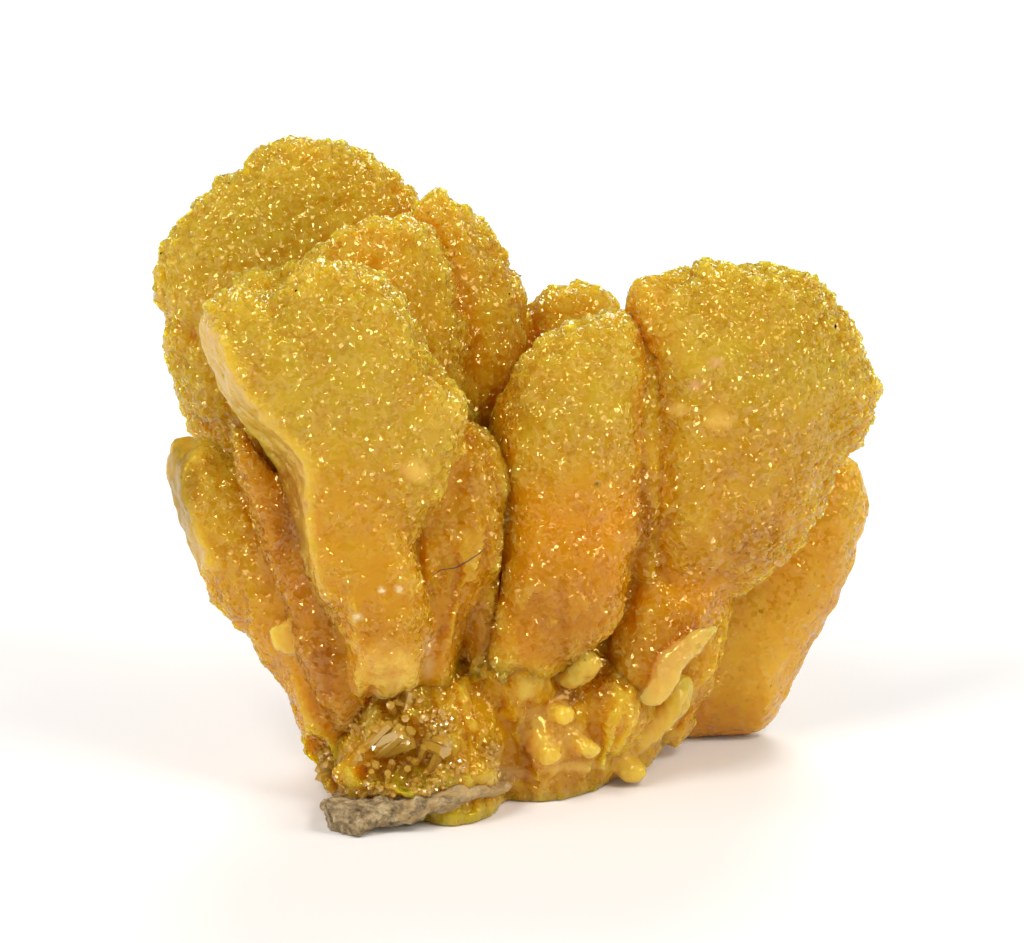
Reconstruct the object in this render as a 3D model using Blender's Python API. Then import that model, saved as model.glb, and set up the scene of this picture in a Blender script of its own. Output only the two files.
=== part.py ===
"""A standing mimetite specimen: a rosette of thick petals that grew as one piece, with a chip of
grey-brown rock under its front corner and two small clusters of clear crystals at its foot.

Lengths are millimetres and become metres in the meshes. Outlines are drawn as the specimen is
seen from the front and VIEW_TILT above the horizon: X to the right and V up the picture plane.
Depth y is 0 at the front corner of the base and grows towards the back. Z is up, and the base
is cut flat at Z = 0.
"""

import itertools
import math
import random

import bmesh
import bpy
import numpy as np
from mathutils import Matrix, Vector

MM = 0.001
VIEW_TILT = math.radians(20.0)
MIDDLE = (0.0, 8.65)  # X and depth of the middle of the whole, which comes to the origin
BLUNT = 3.6  # higher makes a petal's rim rounder and its face flatter
CURVE_STEPS = 6  # steps of an outline between two of its points
GAP = 0.3  # between neighbours that touch
LUMPS = ((4.6, 0.7), (2.1, 0.5), (1.2, 0.35))  # how far apart, and how high
LUMP_LEVEL = 0.68  # height on a lump, from 0 to 1, that lies on the drawn outline
SIDE_DEPTH = 0.4  # share of a petal's back thickness at which its flat side ends
NO_SIDES = ((0, 0.0), (360, 0.0))
LINING_FRONT = 0.5  # how far behind a pocket's middle its crust of crystals begins
CLUSTER_REACH = 0.8  # share of the pocket's outline that crystals stand in
CRYSTAL_POINT = 1.1  # height of a crystal's point for each millimetre of its radius
BED_SLACK = 0.15  # more room round the rock, whose lumps differ a little from its bed's
FACET_SHARE = 0.57  # of the facets that the joined petals have, the share that is kept
GROUND_WIDTH = 90.0
GROUND_DEPTH = 20.0

# foot and tip are (V, depth) of the middle of the petal's thickness, front and back are how far
# it reaches from there, and sway is the depth it gains for each millimetre to the right of its
# heart. curl is how far the rim bends back. detail is the number of times the sphere it starts
# from is divided. sides are flat broken faces along the rim: at each angle round the heart, in
# degrees from the right, how wide.
PETALS = (
    dict(
        name="back_left_fan",
        heart=(-11.0, 25.0),
        foot=(5.0, 11.0),
        tip=(37.0, 14.4),
        front=2.4,
        back=2.6,
        sway=0.06,
        curl=1.2,
        detail=4,
        outline=(
            (-17.6, 21.8), (-18.5, 25.2), (-19.1, 28.4), (-19.0, 31.1), (-17.9, 32.9),
            (-16.2, 34.4), (-14.1, 36.1), (-11.0, 37.2), (-8.2, 36.4), (-6.1, 34.8),
            (-4.6, 32.2), (-4.0, 28.0), (-4.2, 20.0), (-5.0, 10.0), (-6.8, 4.5), (-9.4, 6.0),
            (-12.2, 12.0), (-15.2, 17.2),
        ),
    ),
    dict(
        name="shoulder_petal",
        heart=(-8.4, 22.0),
        foot=(6.0, 6.6),
        tip=(32.8, 9.0),
        front=2.2,
        back=3.0,
        sway=0.14,
        curl=0.8,
        detail=4,
        outline=(
            (-15.3, 24.0), (-16.0, 26.8), (-15.6, 28.7), (-14.4, 30.0), (-12.7, 29.8),
            (-11.2, 30.6), (-9.7, 31.8), (-7.8, 32.4), (-6.2, 32.9), (-4.8, 32.0),
            (-3.7, 29.6), (-2.9, 26.9), (-2.4, 23.1), (-2.6, 18.5), (-3.5, 12.0), (-5.2, 6.5),
            (-8.4, 6.0), (-11.2, 12.0), (-13.6, 19.0),
        ),
    ),
    dict(
        name="notch_petal",
        heart=(-3.0, 22.0),
        foot=(5.0, 10.0),
        tip=(34.0, 12.6),
        front=2.2,
        back=2.4,
        sway=0.2,
        curl=0.8,
        detail=4,
        outline=(
            (-6.6, 30.0), (-5.9, 32.8), (-4.6, 34.1), (-2.8, 33.6), (-1.6, 32.4), (-0.4, 30.9),
            (0.4, 29.3), (0.6, 27.0), (0.2, 25.2), (-0.5, 23.2), (-0.6, 20.0), (-0.6, 14.0),
            (-1.4, 7.0), (-3.4, 4.5), (-5.6, 8.0), (-6.6, 18.0),
        ),
    ),
    dict(
        name="far_petal",
        heart=(3.0, 18.0),
        foot=(6.0, 12.6),
        tip=(28.9, 15.2),
        front=2.4,
        back=2.2,
        sway=0.0,
        curl=1.0,
        detail=3,
        outline=(
            (-1.0, 25.5), (0.6, 28.3), (2.4, 29.0), (4.2, 28.8), (5.8, 27.7), (7.2, 24.5),
            (8.2, 18.0), (7.4, 10.0), (3.4, 5.5), (-0.6, 8.0), (-2.4, 16.0), (-2.2, 22.0),
        ),
    ),
    dict(
        name="back_petal",
        heart=(-5.4, 12.6),
        foot=(5.0, 14.6),
        tip=(22.0, 15.4),
        front=2.6,
        back=1.8,
        sway=-0.05,
        curl=0.4,
        detail=3,
        outline=(
            (-9.6, 17.0), (-8.0, 20.4), (-5.6, 21.8), (-3.2, 20.6), (-1.6, 17.0), (-1.4, 12.0),
            (-2.0, 7.0), (-4.8, 3.8), (-7.4, 6.0), (-9.2, 11.0),
        ),
    ),
    dict(
        name="low_back_petal",
        heart=(3.4, 10.6),
        foot=(5.0, 14.6),
        tip=(17.0, 15.2),
        front=2.6,
        back=1.9,
        sway=0.04,
        curl=0.4,
        detail=3,
        outline=(
            (-0.8, 13.4), (0.6, 16.4), (3.4, 17.6), (6.0, 16.2), (7.8, 12.6), (7.2, 8.4),
            (5.2, 5.0), (2.6, 4.0), (0.2, 6.0), (-0.8, 9.6),
        ),
    ),
    dict(
        name="centre_petal",
        heart=(3.0, 20.0),
        foot=(10.0, 6.6),
        tip=(27.6, 7.4),
        front=2.5,
        back=3.4,
        sway=0.12,
        curl=0.6,
        detail=4,
        outline=(
            (-1.1, 21.8), (-0.7, 23.8), (0.2, 25.3), (1.4, 26.2), (3.2, 27.2), (5.0, 27.7),
            (6.2, 26.9), (6.7, 24.6), (6.6, 20.9), (6.4, 17.0), (5.4, 12.0), (2.4, 9.5),
            (-0.6, 12.0), (-0.9, 17.5),
        ),
    ),
    dict(
        name="centre_skirt",
        heart=(2.4, 14.0),
        foot=(7.0, 5.6),
        tip=(20.0, 7.2),
        front=2.5,
        back=2.6,
        sway=0.15,
        detail=3,
        outline=(
            (-0.4, 18.6), (1.6, 19.6), (4.4, 19.4), (6.5, 18.2), (6.9, 16.2), (6.1, 14.8),
            (5.6, 13.0), (5.2, 11.3), (3.9, 10.3), (2.4, 9.0), (0.5, 7.6), (-1.7, 7.8),
            (-1.9, 10.5), (-1.0, 13.8), (-0.7, 16.6),
        ),
    ),
    dict(
        name="right_fan",
        heart=(12.2, 22.0),
        foot=(12.0, 9.4),
        tip=(30.0, 10.0),
        front=2.7,
        back=3.2,
        sway=0.26,
        curl=1.0,
        detail=4,
        outline=(
            (5.9, 28.4), (6.6, 29.5), (8.9, 29.8), (10.2, 30.3), (14.0, 30.3), (15.8, 29.3),
            (16.8, 28.0), (18.1, 26.1), (19.0, 24.0), (18.8, 22.7), (17.4, 20.2), (16.2, 18.2),
            (14.9, 15.6), (13.3, 13.8), (10.9, 12.3), (8.2, 11.6), (6.8, 14.0), (6.6, 20.9),
            (6.7, 24.5), (6.1, 26.9),
        ),
    ),
    dict(
        name="right_skirt",
        heart=(7.8, 10.8),
        foot=(6.0, 8.8),
        tip=(15.0, 9.8),
        front=2.5,
        back=3.2,
        sway=0.2,
        detail=3,
        outline=(
            (6.2, 14.4), (7.7, 15.3), (9.6, 15.1), (10.9, 13.4), (10.5, 11.2), (9.6, 10.1),
            (8.5, 8.9), (7.6, 7.6), (6.4, 6.4), (4.6, 6.6), (4.4, 9.4), (5.4, 12.2),
        ),
    ),
    dict(
        name="right_wing",
        heart=(13.2, 12.0),
        foot=(5.0, 14.2),
        tip=(20.0, 14.8),
        front=1.9,
        back=2.0,
        sway=0.05,
        curl=0.8,
        detail=4,
        outline=(
            (17.2, 20.3), (18.2, 19.4), (18.6, 18.0), (18.4, 15.8), (17.3, 12.8), (15.7, 10.1),
            (14.6, 8.2), (13.7, 6.2), (12.8, 5.3), (11.0, 5.1), (8.6, 5.1), (6.6, 6.5),
            (6.8, 10.5), (9.5, 14.5), (12.8, 18.0), (15.4, 20.2),
        ),
    ),
    dict(
        name="side_blade",
        heart=(-3.6, 15.0),
        foot=(6.0, 4.2),
        tip=(22.0, 5.0),
        front=1.5,
        back=1.9,
        sway=0.1,
        curl=0.4,
        detail=3,
        outline=(
            (-4.6, 21.5), (-3.1, 22.1), (-1.2, 21.1), (-0.5, 18.5), (-0.9, 16.0), (-1.3, 13.8),
            (-2.4, 12.0), (-3.3, 10.2), (-3.4, 7.4), (-4.6, 5.8), (-6.6, 8.0), (-6.6, 14.0),
            (-6.0, 19.0),
        ),
    ),
    dict(
        name="left_wing",
        heart=(-13.4, 13.2),
        foot=(3.0, 4.6),
        tip=(21.0, 8.2),
        front=1.6,
        back=2.2,
        sway=-0.08,
        curl=0.7,
        detail=4,
        sides=((112, 0.0), (120, 1.3), (150, 1.5), (172, 0.0)),
        outline=(
            (-18.6, 20.6), (-18.0, 21.2), (-16.2, 20.9), (-15.0, 20.0), (-13.4, 17.8),
            (-12.2, 16.0), (-11.5, 13.2), (-10.6, 10.6), (-10.0, 8.2), (-9.1, 5.6),
            (-9.4, 2.8), (-10.3, 1.9), (-11.2, 3.6), (-11.7, 6.4), (-13.2, 9.0), (-15.0, 11.4),
            (-16.9, 13.8), (-18.1, 16.5), (-18.7, 19.0),
        ),
    ),
    dict(
        name="left_rib",
        heart=(-11.4, 14.2),
        foot=(6.0, 4.2),
        tip=(21.0, 6.6),
        front=1.6,
        back=1.4,
        sway=0.0,
        detail=3,
        outline=(
            (-15.2, 21.2), (-14.0, 20.6), (-12.4, 18.4), (-11.0, 15.4), (-9.9, 12.4),
            (-8.6, 9.4), (-8.4, 6.8), (-9.6, 5.6), (-10.6, 8.6), (-11.8, 12.4), (-13.4, 16.8),
        ),
    ),
    dict(
        name="front_tongue",
        heart=(-8.9, 20.0),
        foot=(7.0, 2.6),
        tip=(30.0, 3.6),
        front=2.3,
        back=2.8,
        sway=0.03,
        curl=0.6,
        detail=4,
        sides=(
            (134, 0.0), (140, 1.6), (152, 2.6), (188, 1.5), (245, 0.8), (266, 0.4), (273, 2.4),
            (290, 2.2), (298, 0.0),
        ),
        outline=(
            (-16.8, 27.0), (-16.2, 28.0), (-14.9, 28.7), (-13.0, 28.6), (-12.0, 29.7),
            (-10.5, 30.2), (-8.6, 30.0), (-7.2, 29.4), (-5.7, 27.6), (-4.8, 25.5), (-3.5, 24.1),
            (-2.7, 22.7), (-3.3, 19.9), (-4.2, 17.4), (-5.5, 16.0), (-5.6, 14.2), (-4.9, 12.2),
            (-4.8, 10.4), (-5.4, 7.9), (-6.7, 7.1), (-8.6, 7.3), (-9.1, 8.4), (-9.2, 10.6),
            (-10.5, 12.2), (-11.4, 14.8), (-12.2, 17.8), (-13.0, 19.8), (-14.8, 22.2),
            (-16.0, 23.8), (-16.6, 25.4),
        ),
    ),
)

# The masses that the petals rise from and lean on: middle and radii, both as (X, depth, Z).
ROOTS = (
    ("left_root", (-5.2, 8.0, 2.6), (5.6, 6.6, 6.4)),
    ("right_root", (2.4, 11.8, 3.8), (5.6, 5.4, 6.2)),
    ("middle_root", (0.8, 9.4, 2.6), (4.8, 5.0, 5.4)),
    ("front_foot", (-3.8, 4.8, 0.3), (2.7, 3.3, 1.7)),
    ("back_root", (-1.0, 12.2, 5.0), (9.8, 3.8, 8.6)),
    ("left_core", (-8.6, 8.2, 14.0), (4.4, 5.4, 12.0)),
    ("centre_core", (-1.0, 12.2, 10.0), (4.4, 3.8, 12.0)),
    ("right_core", (7.2, 12.2, 11.5), (4.2, 3.6, 11.0)),
)

# Fingers and flakes at the foot: (X, V, depth) of both ends, then the radius across and through.
FINGERS = (
    ("right_finger", (6.7, 4.4, 8.2), (8.6, 7.8, 8.8), 0.75, 0.75),
    ("lowest_finger", (4.6, 4.6, 8.0), (6.2, 3.2, 7.4), 0.7, 0.7),
    ("pale_finger", (0.4, 6.2, 6.0), (1.8, 4.2, 4.9), 0.6, 0.6),
    ("bent_finger", (2.6, 5.6, 6.2), (4.2, 4.3, 5.6), 0.6, 0.6),
    ("round_finger", (1.6, 6.6, 5.8), (2.3, 6.2, 4.9), 0.65, 0.6),
    ("upper_finger", (3.9, 9.1, 6.6), (2.4, 8.0, 6.2), 0.65, 0.6),
    ("oval_finger", (-0.4, 7.9, 4.6), (0.8, 7.5, 4.4), 0.65, 0.6),
    ("leaning_flake", (6.6, 7.2, 7.2), (10.4, 11.2, 7.8), 0.65, 0.4),
    ("wing_flake", (-12.8, 9.8, 4.3), (-12.1, 11.0, 4.4), 0.7, 0.5),
)

# The chip of rock that the specimen grew on, under its front left corner.
ROCK = dict(
    name="matrix",
    heart=(-6.6, 1.3),
    foot=(0.0, 2.5),
    tip=(2.0, 2.5),
    front=2.3,
    back=2.2,
    sway=0.2,
    detail=3,
    outline=(
        (-10.5, 1.8), (-10.2, 0.8), (-9.7, -0.2), (-8.6, 0.1), (-7.6, 0.5), (-6.2, 0.6),
        (-4.4, 1.2), (-2.4, 1.8), (-0.6, 2.4), (-1.6, 2.8), (-3.4, 2.7), (-5.6, 2.1),
        (-8.2, 1.9),
    ),
)

# Hollows at the foot that are lined with clear crystals, drawn like petals, with what the
# crystals do in them: how many, how long and thick, and the way they point as (X, V, depth).
VUG = dict(
    name="vug_crystals",
    heart=(-6.6, 4.7),
    foot=(2.0, 1.7),
    tip=(7.0, 1.9),
    front=2.2,
    back=2.1,
    sway=0.0,
    detail=2,
    outline=(
        (-9.0, 5.0), (-8.4, 6.7), (-6.6, 7.2), (-4.8, 6.8), (-4.1, 5.0), (-4.5, 3.6), (-6.2, 2.8),
        (-8.3, 3.1),
    ),
    count=12,
    length=2.3,
    radius=0.52,
    aim=(-0.1, 0.15, -1.0),
    spread=0.85,
    seed=4,
)
EDGE_POCKET = dict(
    name="edge_crystals",
    heart=(-11.0, 3.9),
    foot=(2.0, 4.2),
    tip=(6.0, 4.4),
    front=1.7,
    back=1.7,
    sway=0.0,
    detail=2,
    outline=(
        (-12.2, 3.8), (-11.8, 5.0), (-10.9, 5.3), (-10.1, 4.6), (-10.0, 3.2), (-10.8, 2.5),
        (-11.8, 2.8),
    ),
    count=6,
    length=1.6,
    radius=0.42,
    aim=(-0.8, 0.1, -0.6),
    spread=0.6,
    seed=9,
)


def scatter(cells, salt):
    """One number from 0 to 1 for each lattice cell, always the same for the same cell."""
    mixed = cells @ np.array([127.1, 311.7, 74.7]) + 19.19 * salt
    return np.modf(np.abs(np.sin(mixed) * 43758.5453))[0]


def lumps(points, size):
    """Rounded lumps, from 0 in the creases to 1 on top: one middle for each cell of a lattice."""
    cells = np.floor(points / size)
    nearest = np.full(len(points), 9.0)
    for step in itertools.product((-1, 0, 1), repeat=3):
        near = cells + np.array(step)
        jitter = np.stack([scatter(near, salt) for salt in (1, 2, 3)], axis=1)
        away = points / size - near - jitter
        nearest = np.minimum(nearest, (away**2).sum(axis=1))
    return np.clip(1.0 - nearest, 0.0, 1.0)


def smooth_outline(points):
    """The closed Catmull-Rom curve through the points."""
    corners = np.array(points)
    before = np.roll(corners, 1, axis=0)
    after = np.roll(corners, -1, axis=0)
    beyond = np.roll(corners, -2, axis=0)
    pieces = []
    for t in np.arange(CURVE_STEPS) / CURVE_STEPS:
        pieces.append(
            0.5
            * (
                2 * corners
                + (after - before) * t
                + (2 * before - 5 * corners + 4 * after - beyond) * t**2
                + (3 * corners - before - 3 * after + beyond) * t**3
            )
        )
    return np.stack(pieces, axis=1).reshape(-1, 2)


def to_space(x, v, depth):
    """Millimetres on the picture plane and a depth, as (X, Y, Z) of the specimen."""
    height = (v - depth * math.sin(VIEW_TILT)) / math.cos(VIEW_TILT)
    return np.stack([x - MIDDLE[0], depth - MIDDLE[1], height], axis=-1)


def around(angle, stations):
    """A value given at some angles in degrees, read between them, and 0 beyond them."""
    degrees, values = zip(*stations)
    return np.interp(np.degrees(angle) % 360.0, degrees, values, left=0.0, right=0.0)


def middle_depth(petal, x, v):
    (low, low_depth), (high, high_depth) = petal["foot"], petal["tip"]
    lean = (high_depth - low_depth) / (high - low)
    return low_depth + lean * (v - low) + petal["sway"] * (x - petal["heart"][0])


def petal_surface(petal, unit, grow=0.0):
    """Where each point of the unit sphere goes on a petal, and how rough the petal is there.
    The sphere's rim, seen from the front, takes the outline, and its front and back are pressed
    to the petal's thickness. Along a flat side the front slopes straight back to a rim that lies
    further back, and nothing is rough."""
    heart = np.array(petal["heart"])
    curve = smooth_outline(petal["outline"]) - heart
    turn = np.arctan2(curve[:, 1], curve[:, 0])
    order = np.argsort(turn)
    reach = np.hypot(curve[order, 0], curve[order, 1]) + grow
    angle = np.arctan2(unit[:, 2], unit[:, 0])
    out = np.minimum(np.hypot(unit[:, 0], unit[:, 2]), 1.0)
    radius = np.interp(angle, turn[order], reach, period=2 * math.pi)
    x = heart[0] + radius * out * np.cos(angle)
    v = heart[1] + radius * out * np.sin(angle)
    round_rim = np.sqrt(1.0 - out**BLUNT)
    width = around(angle, petal.get("sides", NO_SIDES))
    flatness = np.clip(width, 0.0, 1.0)
    inward = (1.0 - out) * radius
    slope = np.clip(inward / np.maximum(width, 0.01), 0.0, 1.0)
    curl = petal.get("curl", 0.0) * out**2
    rim = SIDE_DEPTH * petal["back"] * flatness
    front_share = round_rim + flatness * (slope - round_rim)
    front = rim - (petal["front"] + grow + rim) * front_share
    back = rim + (petal["back"] + grow - rim) * round_rim
    depth = middle_depth(petal, x, v) + curl + np.where(unit[:, 1] < 0, front, back)
    roughness = 1.0 - flatness * np.clip(1.0 + width - inward, 0.0, 1.0)
    return to_space(x, v, depth), roughness


def read_points(mesh, what="vertices"):
    values = np.empty(len(mesh.vertices) * 3, np.float32)
    if what == "vertices":
        mesh.vertices.foreach_get("co", values)
    else:
        mesh.vertex_normals.foreach_get("vector", values)
    return values.reshape(-1, 3).astype(float)


def write_points(mesh, points):
    mesh.vertices.foreach_set("co", points.astype(np.float32).ravel())
    mesh.update()


def in_collection(obj, collection):
    for old in list(obj.users_collection):
        old.objects.unlink(obj)
    collection.objects.link(obj)
    return obj


def helper(obj, collection):
    obj.hide_render = True
    obj.display_type = "WIRE"
    return in_collection(obj, collection)


def sphere(name, divisions):
    bpy.ops.mesh.primitive_ico_sphere_add(subdivisions=divisions, radius=1.0)
    obj = bpy.context.object
    obj.name = name
    return obj


def roughen(mesh, roughness=1.0):
    """Lumps of each size along the normals, on a mesh still in millimetres."""
    points = read_points(mesh)
    rise = sum(height * (lumps(points, apart) - LUMP_LEVEL) for apart, height in LUMPS)
    rise *= roughness
    write_points(mesh, points + read_points(mesh, "normals") * rise[:, None])


def make_petal(petal, grow=0.0, rough=True):
    obj = sphere(petal["name"], petal["detail"])
    points, roughness = petal_surface(petal, read_points(obj.data), grow)
    write_points(obj.data, points)
    if rough:
        roughen(obj.data, roughness)
    write_points(obj.data, read_points(obj.data) * MM)
    return obj


def make_root(name, middle, radii):
    obj = sphere(name, 3)
    place = np.array(middle) - np.array([*MIDDLE, 0.0])
    write_points(obj.data, read_points(obj.data) * np.array(radii) + place)
    roughen(obj.data)
    write_points(obj.data, read_points(obj.data) * MM)
    return obj


def make_finger(name, start, end, across, through):
    """An egg from start to end: a ball drawn out along that line."""
    obj = sphere(name, 2)
    a = to_space(*start)
    b = to_space(*end)
    along = (b - a) / np.linalg.norm(b - a)
    side = np.cross(along, (0.0, 1.0, 0.0))
    side /= np.linalg.norm(side)
    third = np.cross(along, side)
    unit = read_points(obj.data)
    half = np.linalg.norm(b - a) / 2 + across
    frame = np.stack([side * across, third * through, along * half])
    write_points(obj.data, ((a + b) / 2 + unit @ frame) * MM)
    return obj


def settle(obj):
    """Applies the modifiers and keeps the outer skin, without bubbles shut in between petals."""
    bpy.context.view_layer.update()
    graph = bpy.context.evaluated_depsgraph_get()
    mesh = bpy.data.meshes.new_from_object(obj.evaluated_get(graph))
    shape = bmesh.new()
    shape.from_mesh(mesh)
    waiting = set(shape.faces)
    skins = []
    while waiting:
        skin = set()
        edge_of_skin = {waiting.pop()}
        while edge_of_skin:
            skin |= edge_of_skin
            beside = {f for face in edge_of_skin for e in face.edges for f in e.link_faces}
            edge_of_skin = beside - skin
        waiting -= skin
        skins.append(skin)
    outer = max(skins, key=len)
    loose = [face for face in shape.faces if face not in outer]
    bmesh.ops.delete(shape, geom=loose, context="FACES")
    shape.to_mesh(mesh)
    shape.free()
    obj.modifiers.clear()
    obj.data = mesh
    return obj


def boolean(obj, operation, operand):
    modifier = obj.modifiers.new(operation.title(), "BOOLEAN")
    modifier.operation = operation
    modifier.solver = "EXACT"
    if isinstance(operand, bpy.types.Collection):
        modifier.operand_type = "COLLECTION"
        modifier.collection = operand
    else:
        modifier.object = operand
    return obj


def material(name, colour, roughness, alpha=1.0):
    made = bpy.data.materials.new(name)
    made.use_nodes = True
    shader = made.node_tree.nodes["Principled BSDF"]
    shader.inputs["Base Color"].default_value = (*colour, 1.0)
    shader.inputs["Roughness"].default_value = roughness
    shader.inputs["Metallic"].default_value = 0.0
    shader.inputs["Alpha"].default_value = alpha
    made.diffuse_color = (*colour, alpha)
    return made


def make_crystal(name, foot, aim, length, radius, turn):
    """A six-sided prism with a pointed end, standing on foot and pointing along aim."""
    shape = bmesh.new()
    bmesh.ops.create_cone(
        shape, cap_ends=True, segments=6, radius1=radius, radius2=radius, depth=length
    )
    top = max(shape.faces, key=lambda face: face.calc_center_median().z)
    bmesh.ops.poke(shape, faces=[top], offset=CRYSTAL_POINT * radius)
    stand = Vector(aim).to_track_quat("Z", "X").to_matrix().to_4x4()
    place = (
        Matrix.Scale(MM, 4)
        @ Matrix.Translation(foot)
        @ stand
        @ Matrix.Rotation(turn, 4, "Z")
        @ Matrix.Translation((0.0, 0.0, length / 2))
    )
    bmesh.ops.transform(shape, matrix=place, verts=shape.verts)
    mesh = bpy.data.meshes.new(name)
    shape.to_mesh(mesh)
    shape.free()
    obj = bpy.data.objects.new(name, mesh)
    bpy.context.scene.collection.objects.link(obj)
    return obj


def make_cluster(pocket):
    """Crystals on a thin crust that lines the back of a pocket, kept clear of its wall."""
    draws = random.Random(pocket["seed"])
    lining = dict(pocket, name=pocket["name"], front=-LINING_FRONT)
    cluster = make_petal(lining, grow=-GAP, rough=False)
    shapes = bpy.data.collections.new(pocket["name"] + "_shapes")
    HELPERS.children.link(shapes)
    heart = np.array(pocket["heart"])
    curve = smooth_outline(pocket["outline"]) - heart
    for number in range(pocket["count"]):
        edge = curve[draws.randrange(len(curve))]
        out = CLUSTER_REACH * math.sqrt(draws.random())
        x, v = heart + edge * out
        inside = (LINING_FRONT + pocket["back"]) / 2 * math.sqrt(1.0 - out**BLUNT)
        depth = middle_depth(pocket, x, v) + inside
        aim = [a + pocket["spread"] * draws.uniform(-1, 1) for a in pocket["aim"]]
        crystal = make_crystal(
            f"{pocket['name']}_{number}",
            to_space(x, v, depth),
            (aim[0], aim[2], aim[1]),
            pocket["length"] * draws.uniform(0.6, 1.1),
            pocket["radius"] * draws.uniform(0.6, 1.2),
            draws.uniform(0, math.pi),
        )
        helper(crystal, shapes)
    boolean(cluster, "UNION", shapes)
    limit = helper(make_petal(pocket, grow=-GAP), HELPERS)
    limit.name = pocket["name"] + "_limit"
    boolean(cluster, "INTERSECT", limit)
    cluster.data.materials.append(CLEAR)
    return in_collection(cluster, SPECIMEN)


for old in list(bpy.data.objects):
    bpy.data.objects.remove(old)

SPECIMEN = bpy.data.collections.new("mimetite_specimen")
HELPERS = bpy.data.collections.new("helpers")
PETAL_SHAPES = bpy.data.collections.new("petal_shapes")
CUTTERS = bpy.data.collections.new("cutters")
for collection in (SPECIMEN, HELPERS):
    bpy.context.scene.collection.children.link(collection)
for collection in (PETAL_SHAPES, CUTTERS):
    HELPERS.children.link(collection)

YELLOW = material("mimetite_yellow", (0.62, 0.37, 0.04), 0.35)
ROCK_GREY = material("rock_grey", (0.24, 0.19, 0.13), 0.85)
CLEAR = material("clear_crystal", (0.85, 0.78, 0.5), 0.1, alpha=0.5)

bpy.ops.mesh.primitive_cube_add(size=1.0, location=(0.0, 0.0, -GROUND_DEPTH / 2 * MM))
GROUND = bpy.context.object
GROUND.name = "ground"
GROUND.scale = (GROUND_WIDTH * MM, GROUND_WIDTH * MM, GROUND_DEPTH * MM)
helper(GROUND, CUTTERS)

body = make_root("mimetite", *ROOTS[0][1:])
for name, middle, radii in ROOTS[1:]:
    helper(make_root(name, middle, radii), PETAL_SHAPES)
for petal in PETALS:
    helper(make_petal(petal), PETAL_SHAPES)
for finger in FINGERS:
    helper(make_finger(*finger), PETAL_SHAPES)

for pocket in (VUG, EDGE_POCKET):
    hollow = helper(make_petal(pocket), CUTTERS)
    hollow.name = pocket["name"] + "_pocket"
    make_cluster(pocket)
bed = helper(make_petal(ROCK, grow=GAP + BED_SLACK), CUTTERS)
bed.name = "rock_bed"

boolean(body, "UNION", PETAL_SHAPES)
thinned = body.modifiers.new("Facets", "DECIMATE")
thinned.ratio = FACET_SHARE
settle(body)
boolean(body, "DIFFERENCE", CUTTERS)
settle(body)
body.data.materials.append(YELLOW)
in_collection(body, SPECIMEN)

rock = boolean(make_petal(ROCK), "DIFFERENCE", GROUND)
rock.data.materials.append(ROCK_GREY)
in_collection(rock, SPECIMEN)
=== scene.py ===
# %% [markdown]
# # A mimetite specimen
#
# The real thing is a fan of thick yellow petals, each one a sheet of mineral with a skin of tiny
# crystals, that grew together from a broken foot on a chip of rock. Here the petals are drawn as
# outlines, swelled into closed shells with numpy, fused into four skins that run into each other,
# and covered with crystals by a rule that works on any closed skin. Clear crystals, rods and a hair
# of lint follow, then the finishes, the lights and the camera.

# %% [markdown]
# ## The frame
# The imported model is loaded first and stays where it is. Every piece made below is in its place
# from the start, in metres, and stands for a node of that model.

import itertools
import math

import bpy
import numpy as np
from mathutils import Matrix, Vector


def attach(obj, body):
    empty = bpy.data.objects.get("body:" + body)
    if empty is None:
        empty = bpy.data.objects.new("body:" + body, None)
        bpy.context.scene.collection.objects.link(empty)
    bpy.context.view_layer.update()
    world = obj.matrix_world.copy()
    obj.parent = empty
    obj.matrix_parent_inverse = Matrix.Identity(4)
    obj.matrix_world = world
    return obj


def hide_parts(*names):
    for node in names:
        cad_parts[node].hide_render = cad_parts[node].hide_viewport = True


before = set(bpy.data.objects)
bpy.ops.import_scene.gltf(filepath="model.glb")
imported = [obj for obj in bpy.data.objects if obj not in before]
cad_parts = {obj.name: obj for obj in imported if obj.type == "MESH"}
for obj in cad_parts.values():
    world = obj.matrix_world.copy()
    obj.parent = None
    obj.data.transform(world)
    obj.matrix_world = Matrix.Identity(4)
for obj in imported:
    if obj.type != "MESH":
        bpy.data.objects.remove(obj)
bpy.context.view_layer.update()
print("nodes:", sorted(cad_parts))


# %% [markdown]
# ## Drawing on the picture plane
# The outlines are drawn as the specimen is seen from the front and a little above: X to the
# right, V up the picture, and depth away from the viewer, in millimetres. Drawing on that plane
# keeps every outline true to the view, and one formula turns it into the upright X, Y and Z.

# %% The picture plane
MM = 0.001
VIEW_TILT = math.radians(20.0)
MIDDLE = (0.0, 8.65)


def to_space(x, v, depth):
    """X stays, Y is the depth, and Z = (V - depth sin tilt) / cos tilt. In millimetres."""
    height = (v - depth * math.sin(VIEW_TILT)) / math.cos(VIEW_TILT)
    return np.stack([x - MIDDLE[0], depth - MIDDLE[1], height], axis=-1)


def to_picture(points):
    """The way back: X, V = depth sin tilt + Z cos tilt, and the depth."""
    depth = points[..., 1] + MIDDLE[1]
    v = depth * math.sin(VIEW_TILT) + points[..., 2] * math.cos(VIEW_TILT)
    return points[..., 0] + MIDDLE[0], v, depth


# %% [markdown]
# ## The petals
# A petal of mimetite is a thick, round-rimmed leaf. Each is given as an outline round its heart,
# the height and depth of its foot and tip, and how far it reaches in front of the line between
# them and behind it. Sway leans it to one side, curl bends its rim back, and a low blunt rounds
# its faces. Sides are the flat, pale places where it broke off a neighbour: the angle round the
# heart in degrees, and the width there. A loft through sections would do too, but an outline is
# easier to set against a picture.

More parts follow.
